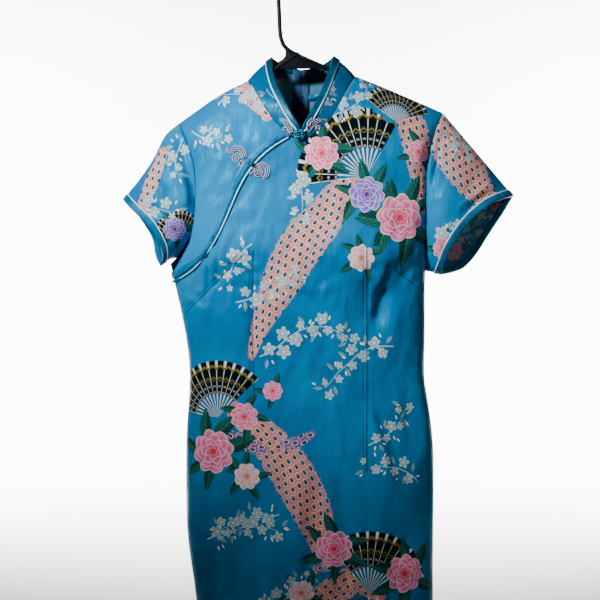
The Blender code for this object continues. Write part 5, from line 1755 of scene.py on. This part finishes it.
@dataclass
class Frog:
    """One half of a frog fastening: a coil, a wing of three cords and a leaf-shaped loop."""

    node: str
    coil: Pair
    coil_radius: float
    end_degrees: float
    turn: int
    wing: tuple[Pair, ...]
    leaf: tuple[Pair, ...]
    cord_radius: float = 0.00085
    pitch: float = 0.00155
    sides: int = 8

    def flat_cords(self) -> list[tuple[np.ndarray, float]]:
        """Lay the cords out in the X-Z plane.

        Returns:
            A path for each cord, and 1 if it is navy or 0 if it is pale.
        """
        wing = smooth_path(np.array(self.wing), 6)
        ahead = np.gradient(wing, axis=0)
        ahead /= np.linalg.norm(ahead, axis=1)[:, None]
        left = np.stack([-ahead[:, 1], ahead[:, 0]], axis=1)
        share = np.linspace(0, 1, len(wing))
        taper = np.interp(share, (0.0, 0.25, 0.6, 1.0), (0.72, 1.0, 0.9, 0.22))[:, None]
        cords = [(wing + left * taper * self.pitch * k, float(k % 2)) for k in (-2, -1, 0, 1, 2)]
        steps = np.arange(72)
        angles = math.radians(self.end_degrees) + self.turn * steps / 18 * 2 * math.pi
        for navy_and_core_shade in (0.0, 1.0):
            radii = self.coil_radius - self.cord_radius - self.pitch * (navy_and_core_shade + 2 * steps / 18)
            keep = radii > 0.0006
            spiral = np.stack([np.cos(angles), np.sin(angles)], axis=1)[keep] * radii[keep, None]
            cords.append((np.array(self.coil) + spiral, navy_and_core_shade))
        leaf = smooth_path(np.array(self.leaf), 6)
        side = np.gradient(leaf, axis=0)
        side = np.stack([-side[:, 1], side[:, 0]], axis=1) / np.linalg.norm(side, axis=1)[:, None]
        swell = np.sin(np.linspace(0.12, 1, len(leaf)) * math.pi)[:, None] * 0.0021
        cords.append((np.vstack([leaf + side * swell, (leaf - side * swell)[::-1]]), 0.0))
        cords.append((leaf, 1.0))
        return cords

    def build(self, cloth: Cloth, material: bpy.types.Material) -> Blend:
        """Wind the cords and sew them down.

        Args:
            cloth: the cloth below.
            material: the cord's finish.

        Returns:
            The frog half.
        """
        parts, twists = [], []
        for flat, navy_and_core_shade in self.flat_cords():
            path = []
            for x, z in flat:
                place, outward = cloth.seat(x, z)
                path.append(place + outward * self.cord_radius * 1.02)
            path = np.array(path)
            path[1:-1, 1] = np.minimum(path[1:-1, 1], (path[:-2, 1] + 2 * path[1:-1, 1] + path[2:, 1]) / 4)
            longer, radii = round_ends(path, self.cord_radius, 3)
            parts.append(tube(longer, radii * (1.12 if navy_and_core_shade else 0.94), self.sides))
            twists.append((longer, self.sides, navy_and_core_shade))
        vertices, faces = merge(parts)
        made = add_object(f"{self.node}_cords", vertices, faces, material)
        write_twist(made, twists, self.cord_radius * THREAD_LAY)
        return settle(made, "cord", self.node)


def write_twist(obj: Blend, twists: list[tuple[np.ndarray, int, float]], lay: float) -> None:
    """Write how far round and along its cords every face corner lies.

    Args:
        obj: the cords, made by tube() from each path in turn.
        twists: each cord's path, number of sides and tone.
        lay: the length of one turn of the threads.
    """
    around, along, tones = [], [], []
    for path, sides, tone in twists:
        steps = np.concatenate([[0.0], np.cumsum(np.linalg.norm(np.diff(path, axis=0), axis=1))])
        around.append(np.tile(np.arange(sides) / sides, len(path)))
        along.append(np.repeat(steps / lay, sides))
        tones.append(np.full(len(path) * sides, tone))
    around, along, tones = np.concatenate(around), np.concatenate(along), np.concatenate(tones)
    values = np.zeros((len(obj.data.loops), 3))
    for polygon in obj.data.polygons:
        turns = around[list(polygon.vertices)]
        if len(turns) == 4 and turns.max() - turns.min() > 0.5:
            turns = np.where(turns < 0.5, turns + 1.0, turns)
        for loop, turn, vertex in zip(polygon.loop_indices, turns, polygon.vertices):
            values[loop] = (turn, along[vertex], tones[vertex])
    write_corners(obj.data, "twist", values)


@dataclass
class Knot:
    """A ball knot of wound cord."""

    node: str
    place: Pair
    size: Pair
    degrees: float
    slot: str
    lift: float
    height: float = 0.0050
    cord_radius: float = 0.0012
    wraps: int = 3
    waves: int = 4

    def build(self, cloth: Cloth, material: bpy.types.Material) -> Blend:
        """Wind the knot.

        Args:
            cloth: the cloth below.
            material: the cord's finish.

        Returns:
            The knot.
        """
        centre = cloth.seat(*self.place)[0] + np.array([0.0, -self.lift - self.height * 0.55, 0.0])
        half = np.array([self.size[0] / 2, self.height * 0.8, self.size[1] / 2]) - self.cord_radius
        turn = math.radians(self.degrees)
        count = 150
        t = np.arange(count) / count * 2 * math.pi
        lift = 0.95 * np.sin(self.waves * t + 0.4)
        reach = 1.0 + 0.10 * np.cos(self.waves * 2 * t)
        flat = np.stack(
            [np.cos(self.wraps * t) * np.cos(lift), np.sin(lift), np.sin(self.wraps * t) * np.cos(lift)],
            axis=1,
        )
        path = flat * half * reach[:, None]
        parts = [tube(path, self.cord_radius, 8, closed=True)]
        # a core ball under the wraps, painted near-black as the shade between the cord's turns
        rings, sectors = 10, 16
        core = []
        for i in range(1, rings):
            polar = math.pi * i / rings
            for k in range(sectors):
                angle = 2 * math.pi * k / sectors
                across, up = math.sin(polar) * math.cos(angle), math.sin(polar) * math.sin(angle)
                core.append((across, math.cos(polar), up))
        faces = []
        for i in range(rings - 2):
            for k in range(sectors):
                a, b = i * sectors + k, i * sectors + (k + 1) % sectors
                faces.append((a, a + sectors, b + sectors, b))
        faces.append(tuple(range(sectors)))
        faces.append(tuple((rings - 2) * sectors + k for k in range(sectors))[::-1])
        parts.append((np.array(core) * half * 0.86, faces))
        vertices, polygons = merge(parts)
        cosine, sine = math.cos(turn), math.sin(turn)
        spin = np.array([[cosine, 0, -sine], [0, 1, 0], [sine, 0, cosine]])
        vertices = vertices @ spin.T + centre
        made = add_object(f"{self.node}_wound", vertices, polygons, material)
        face_outwards(made)
        # tone 1 paints the core in the dark navy colour as painted shade
        twists = [(path, 8, 0.0), (np.array(core)[: rings - 1], sectors, 1.0)]
        write_twist(made, twists, self.cord_radius * THREAD_LAY)
        return settle(made, self.slot, self.node)


@dataclass
class ZipTeeth:
    """The coil teeth between the two tapes."""

    top: float = -0.1262
    low: float = -0.610
    pitch: float = 0.0020
    reach: float = 0.0024
    thickness: float = 0.0009
    section: tuple[Pair, ...] = (
        (-0.6, -1), (0.6, -1), (1, -0.5), (1, 0.5), (0.6, 1), (-0.6, 1), (-1, 0.5), (-1, -0.5),
    )

    def build(self, nodes: dict, material: bpy.types.Material) -> Blend:
        """Set the teeth along the tapes' inner edges.

        Args:
            nodes: the frame's nodes.
            material: the teeth's finish.

        Returns:
            The teeth as one piece.
        """
        left = self.edge(nodes["zip_tape_left"], 1.0)
        right = self.edge(nodes["zip_tape_right"], -1.0)
        half = np.array([self.reach * 0.62, self.thickness, self.pitch * 0.36])
        corners = [(x, y, z) for x in (-1, 1) for y, z in self.section]
        faces = [tuple(range(8))[::-1], tuple(range(8, 16))]
        faces += [(i, (i + 1) % 8, 8 + (i + 1) % 8, 8 + i) for i in range(8)]
        parts = []
        for k in range(int((self.top - self.low) / self.pitch)):
            z = self.top - k * self.pitch
            a, b = left(z), right(z)
            middle = (a + b) / 2 - np.array([0.0, 0.0006, 0.0])
            side = -1.0 if k % 2 else 1.0
            centre = middle + np.array([side * self.reach * 0.35, 0.0, 0.0])
            parts.append((centre + half * np.array(corners), faces))
        chain = []
        for z in np.linspace(self.top, self.low, 60):
            chain.append((left(z) + right(z)) / 2 + np.array([0.0, 0.0003, 0.0]))
        parts.append(tube(np.array(chain), 0.0008, 6))
        vertices, faces = merge(parts)
        log.info("zip teeth: %d", len(parts))
        return settle(add_object("zip_teeth", DRAPE.shift(vertices), faces, material), "zip")

    @staticmethod
    def edge(node: Blend, side: float) -> Callable[[float], np.ndarray]:
        """Find a tape's edge towards the middle.

        Args:
            node: the tape.
            side: 1 for the tape's right edge, -1 for its left.

        Returns:
            A function from a height to the place on that edge.
        """
        points = node_points(node)
        zs, xs, ys = np.unique(np.round(points[:, 2], 3)), [], []
        for level in zs:
            row = points[np.abs(points[:, 2] - level) < 0.002]
            best = row[np.argsort(-side * row[:, 0])[:2]]
            xs.append(best[:, 0].mean())
            ys.append(best[:, 1].min())
        return lambda z: np.array([np.interp(z, zs, xs), np.interp(z, zs, ys), z])


# ---------------------------------------------------------------- hanger


@dataclass
class Hanger:
    """A moulded plastic hanger: hook, stem, two arms and the web in their corner."""

    radius: float = 0.0033
    sides: int = 24
    hook_radius: float = 0.0240
    hook_z: float = -0.0207
    web_thickness: float = 0.0034
    stem: tuple[Pair, ...] = (
        (-0.0237, -0.0300), (-0.0228, -0.0500), (-0.0217, -0.0740), (-0.0190, -0.0880), (-0.0120, -0.0990),
        (0.0060, -0.1100), (0.0500, -0.1298), (0.1300, -0.1658), (0.2140, -0.2036),
    )
    left_arm: tuple[Pair, ...] = (
        (0.0040, -0.1076), (-0.0400, -0.1372), (-0.0900, -0.1680), (-0.1400, -0.1984), (-0.1700, -0.2177),
        (-0.1880, -0.2310),
    )
    web: tuple[Pair, ...] = (
        (-0.0152, -0.1000), (0.0040, -0.1060), (0.0500, -0.1262), (0.0500, -0.1285), (0.0130, -0.1297),
        (-0.0240, -0.1305), (-0.0262, -0.1262), (-0.0240, -0.1190), (-0.0173, -0.1150), (-0.0143, -0.1105),
        (-0.0134, -0.1030),
    )

    def rod(self, flat: np.ndarray) -> Mesh:
        """Bend one rod.

        Args:
            flat: its line in the X-Z plane.

        Returns:
            Its points and faces.
        """
        path = np.stack([flat[:, 0], np.zeros(len(flat)), flat[:, 1]], axis=1)
        return tube(*round_ends(path, self.radius), self.sides)

    def build(self, material: bpy.types.Material) -> Blend:
        """Mould the hanger.

        Args:
            material: the plastic.

        Returns:
            The hanger as one piece.
        """
        angles = np.radians(np.linspace(0, 180, 40))
        arc = self.hook_radius * np.stack([np.cos(angles), np.sin(angles)], axis=1) + (0.0, self.hook_z)
        stem = smooth_path(np.array([arc[-1], *self.stem]), 10)[1:]
        parts = [self.rod(np.vstack([arc, stem])), self.rod(smooth_path(np.array(self.left_arm), 10))]
        vertices, faces = merge(parts)
        rods = add_object("hanger_moulding", vertices, faces, material)
        web = self.web_plate(material)
        activate(rods)
        web.select_set(True)
        bpy.ops.object.join()
        bpy.ops.object.shade_smooth_by_angle(angle=SMOOTH_BELOW)
        return settle(rods, "hanger", "hanger")

    def web_plate(self, material: bpy.types.Material) -> Blend:
        """Make the web, a flat plate with bevelled edges.

        Args:
            material: the plastic.

        Returns:
            The web.
        """
        half = self.web_thickness / 2
        points = [(x, y, z) for y in (-half, half) for x, z in self.web]
        count = len(self.web)
        faces = [tuple(range(count)), tuple(range(2 * count - 1, count - 1, -1))]
        faces += [(i, i + count, (i + 1) % count + count, (i + 1) % count) for i in range(count)]
        web = add_object("hanger_web", np.array(points), faces, material)
        face_outwards(web)
        apply_modifier(web, "BEVEL", width=0.0007, segments=3, limit_method="ANGLE", angle_limit=SMOOTH_BELOW)
        return web


# ---------------------------------------------------------------- the room


@dataclass
class Studio:
    """Pale floor and wall, soft lights and the camera."""

    camera_place: Triple = (0.00825, -2.0, -0.4765)
    lens: float = 80.0
    sensor: float = 36.0
    floor_z: float = -1.215
    floor_ends: Pair = (-5.0, 3.4)
    bend_radius: float = 1.0
    wall_top: float = 1.25
    pale: Colour = (0.90, 0.90, 0.90)
    air: Colour = (0.92, 0.96, 1.0)
    air_strength: float = 0.018

    def floor(self) -> None:
        """Lay the floor and curve it up behind the dress."""
        graph = Graph("paper_backdrop")
        fibres = graph.noise(graph.place(), 300.0)
        paper = graph.finish({"Base Color": self.pale, "Roughness": 0.85 + fibres * 0.1})
        front, back = self.floor_ends
        profile = [(front, self.floor_z), (back, self.floor_z)]
        for k in range(1, 13):
            angle = math.pi / 2 * k / 12
            rise = self.bend_radius * (1 - math.cos(angle))
            profile.append((back + self.bend_radius * math.sin(angle), self.floor_z + rise))
        profile.append((back + self.bend_radius, self.wall_top))
        points = [(x, y, z) for x in (-6.0, 6.0) for y, z in profile]
        count = len(profile)
        faces = [(i, i + count, i + count + 1, i + 1) for i in range(count - 1)]
        add_object("backdrop", np.array(points), faces, paper)

    def lamp(self, name: str, place: Triple, aim: Triple, size: float, power: float, spread: float) -> None:
        """Hang one square lamp.

        Args:
            name: its name.
            place: where it hangs.
            aim: what it shines at.
            size: its width.
            power: its power in watts.
            spread: the width of its beam in degrees.
        """
        data = bpy.data.lights.new(name, "AREA")
        data.size, data.energy, data.spread = size, power, math.radians(spread)
        lamp = show(name, data)
        lamp.location = place
        lamp.rotation_euler = (Vector(aim) - Vector(place)).to_track_quat("-Z", "Y").to_euler()

    def build(self) -> None:
        """Set the room up."""
        self.floor()
        self.lamp("key", (-0.86, -1.00, 0.40), (0.03, 0.0, -0.34), 0.18, 2.5, 36.0)
        self.lamp("fill", (1.3, -1.7, 0.3), (0.08, 0.0, -0.32), 0.5, 0.42, 50.0)
        for name, side in (("wall_left", -1.0), ("wall_right", 1.0)):
            self.lamp(name, (side * 2.6, 2.6, 0.8), (side * -0.1, 4.4, -0.9), 1.5, 420.0, 110.0)
        world = bpy.data.worlds.new("room")
        world.use_nodes = True
        background = world.node_tree.nodes["Background"]
        background.inputs[0].default_value = (*self.air, 1.0)
        background.inputs[1].default_value = self.air_strength
        bpy.context.scene.world = world
        data = bpy.data.cameras.new("camera")
        data.lens, data.sensor_width, data.sensor_height = self.lens, self.sensor, self.sensor
        camera = show("camera", data)
        camera.location = self.camera_place
        camera.rotation_euler = (math.pi / 2, 0.0, 0.0)
        bpy.context.scene.camera = camera


# ---------------------------------------------------------------- the dress


PANELS = (
    ClothPiece(
        "front_panel", "front_main", FRONT_LAYOUT, (0.03, 0.03), (0.43, 1.06), 0.370, darts=DRAPE.darts
    ),
    ClothPiece("underlap_panel", "front_underlap", FRONT_LAYOUT, (0.03, 0.03), (0.18, 0.30), 0.028),
    *(
        ClothPiece(
            f"back_{side}_panel", f"back_{side}", BACK_LAYOUT, (0.03, -0.03), flat, area,
            darts=DRAPE.back_darts,
        )
        for side, flat, area in (("left", (0.22, 1.06), 0.190), ("right", (0.24, 1.06), 0.215))
    ),
    ClothPiece(
        "sleeve_left_panel", "sleeve_left", LEFT_SLEEVE_LAYOUT, (-0.19, 0.0), (0.30, 0.17), 0.030, 0.02
    ),
    ClothPiece(
        "sleeve_right_panel", "sleeve_right", RIGHT_SLEEVE_LAYOUT, (0.24, 0.0), (0.33, 0.19), 0.040, -0.02
    ),
    *(
        ClothPiece(
            f"collar_{side}_panel", f"collar_{side}", COLLAR_LAYOUT, (0.008, 0.0), (0.19, 0.048), 0.0085,
            # the collars get painted shade, as they lie in shadow
            shift, shade=0.62,
        )
        for side, shift in (("left", 0.02), ("right", -0.02))
    ),
)

FROGS = (
    Frog("frog_chest_upper", (-0.0850, -0.2685), 0.0084, -10, 1,
         ((-0.0724, -0.2676), (-0.0736, -0.2618), (-0.0772, -0.2567), (-0.0824, -0.2541), (-0.0880, -0.2553),
          (-0.0928, -0.2590), (-0.0962, -0.2578), (-0.0975, -0.2545), (-0.0958, -0.2526)),
         ((-0.0752, -0.2722), (-0.0785, -0.2775), (-0.0808, -0.2831))),
    Frog("frog_chest_lower", (-0.0530, -0.2906), 0.0082, 100, -1,
         ((-0.0550, -0.2822), (-0.0500, -0.2792), (-0.0445, -0.2795), (-0.0400, -0.2830), (-0.0388, -0.2890),
          (-0.0410, -0.2950), (-0.0448, -0.2975), (-0.0470, -0.2960)),
         ((-0.0575, -0.2845), (-0.0625, -0.2880), (-0.0640, -0.2935))),
    Frog("frog_collar_left", (-0.0140, -0.2268), 0.0050, -30, 1,
         ((-0.0040, -0.2315), (-0.0072, -0.2245), (-0.0112, -0.2185), (-0.0160, -0.2140), (-0.0218, -0.2118)),
         ((-0.0062, -0.2325), (-0.0090, -0.2335), (-0.0130, -0.2340))),
    Frog("frog_collar_right", (0.0350, -0.2250), 0.0050, 210, -1,
         ((0.0195, -0.2300), (0.0240, -0.2225), (0.0295, -0.2172), (0.0360, -0.2142), (0.0430, -0.2142)),
         ((0.0192, -0.2255), (0.0212, -0.2190), (0.0255, -0.2110))),
)

KNOTS = (
    Knot("frog_chest_knot", (-0.0645, -0.2752), (0.0125, 0.0085), -42, "cord", 0.0008),
    Knot("frog_collar_knot", (0.0072, -0.2350), (0.0165, 0.0150), 0, "knot", 0.0010),
)

BINDINGS = ("collar_left", "collar_right", "sleeve_left", "sleeve_right", "placket")


@dataclass
class Dress:
    """The cheongsam: cloth, trims, fastenings and zip."""

    nodes: dict

    def tables(self, names: tuple[str, ...], start_x: float, x_range: Pair) -> list[PatternTable]:
        """Measure the front and the back of some pieces.

        Args:
            names: the pieces.
            start_x: where the thread starts.
            x_range: how far it runs.

        Returns:
            The front's table and the back's.
        """
        trees = [tree_of(self.nodes[name]) for name in names]
        return [PatternTable(trees, front, start_x, x_range) for front in (True, False)]

    def build(self) -> None:
        """Make every piece."""
        printed = PrintedSatin().build()
        torso = self.tables(("front_main", "front_underlap", "back_left", "back_right"), 0.02, (-0.21, 0.25))
        tables = {
            "sleeve_left": self.tables(("sleeve_left",), -0.19, (-0.27, -0.12)),
            "sleeve_right": self.tables(("sleeve_right",), 0.24, (0.15, 0.34)),
            "collar_left": self.tables(("collar_left", "collar_right"), 0.008, (-0.07, 0.09)),
        }
        tables["collar_right"] = tables["collar_left"]
        pieces = [p.build(self.nodes, printed, *tables.get(p.node, torso)) for p in PANELS]
        binding = Satin("binding_satin", (0.0, 0.075, 0.190), (0.0, 0.140, 0.300)).build()
        # painted shade: the collar's binding is a darker copy of the binding satin, as the collar lies in
        # shadow
        painted_shade_collar_binding = Satin("painted_shade_collar_binding_satin", (0.0, 0.024, 0.055), (0.0, 0.060, 0.110)).build()
        piping = Satin("piping_satin", (0.56, 0.76, 0.84), (0.86, 0.92, 0.94), roughness=0.42).build()
        for name in BINDINGS:
            satin = painted_shade_collar_binding if name.startswith("collar") else binding
            pieces.append(Trim(f"{name}_bound_edge", f"{name}_binding", "binding").build(self.nodes, satin))
            pieces.append(Trim(f"{name}_corded_edge", f"{name}_piping", "piping").build(self.nodes, piping))
        collar = (0.008, 0.0)
        for name, middle in (("collar_left", collar), ("collar_right", collar), ("placket", (-0.05, 2.0))):
            PipingBed(name, middle).build(self.nodes, binding)
        NeckTape().build(self.nodes, binding)
        cloth = Cloth([tree_of(piece) for piece in pieces])
        lavender = TwistedCord("lavender_cord", (0.44, 0.46, 0.68), (0.0, 0.001, 0.016)).build()
        blue = TwistedCord("blue_cord", (0.0, 0.15, 0.24), (0.0, 0.012, 0.04)).build()
        for frog in FROGS:
            frog.build(cloth, lavender)
        for knot in KNOTS:
            knot.build(cloth, blue)
        self.build_zip()

    def build_zip(self) -> None:
        """Finish the zip: woven tapes, coil teeth, painted slider and pull."""
        tape = ZipTape("zip_tape_weave", (0.0, 0.050, 0.15)).build()
        coil = Lacquer("zip_coil", (0.0, 0.050, 0.18), (0.01, 0.10, 0.30), 0.35).build()
        paint = Lacquer("zip_paint", (0.004, 0.10, 0.34), (0.30, 0.36, 0.42), 0.28, 0.15).build()
        for name in ("zip_tape_left", "zip_tape_right"):
            Trim(f"{name}_woven", name, "zip").build(self.nodes, tape)
        for name in ("zip_slider", "zip_pull"):
            node = self.nodes[name]
            for material_slot in node.material_slots:
                material_slot.material = paint
        ZipTeeth().build(self.nodes, coil)


def main() -> None:
    """Build the dress, the hanger and the room."""
    logging.basicConfig(level=logging.INFO, format="%(message)s")
    Dress(frame["nodes"]).build()
    log.info("dress done")
    plastic = Lacquer("black_plastic", (0.002, 0.003, 0.005), (0.02, 0.02, 0.03), 0.36, gloss=0.16)
    Hanger().build(plastic.build())
    log.info("hanger done")
    Studio().build()


if __name__ == "__main__":
    main()
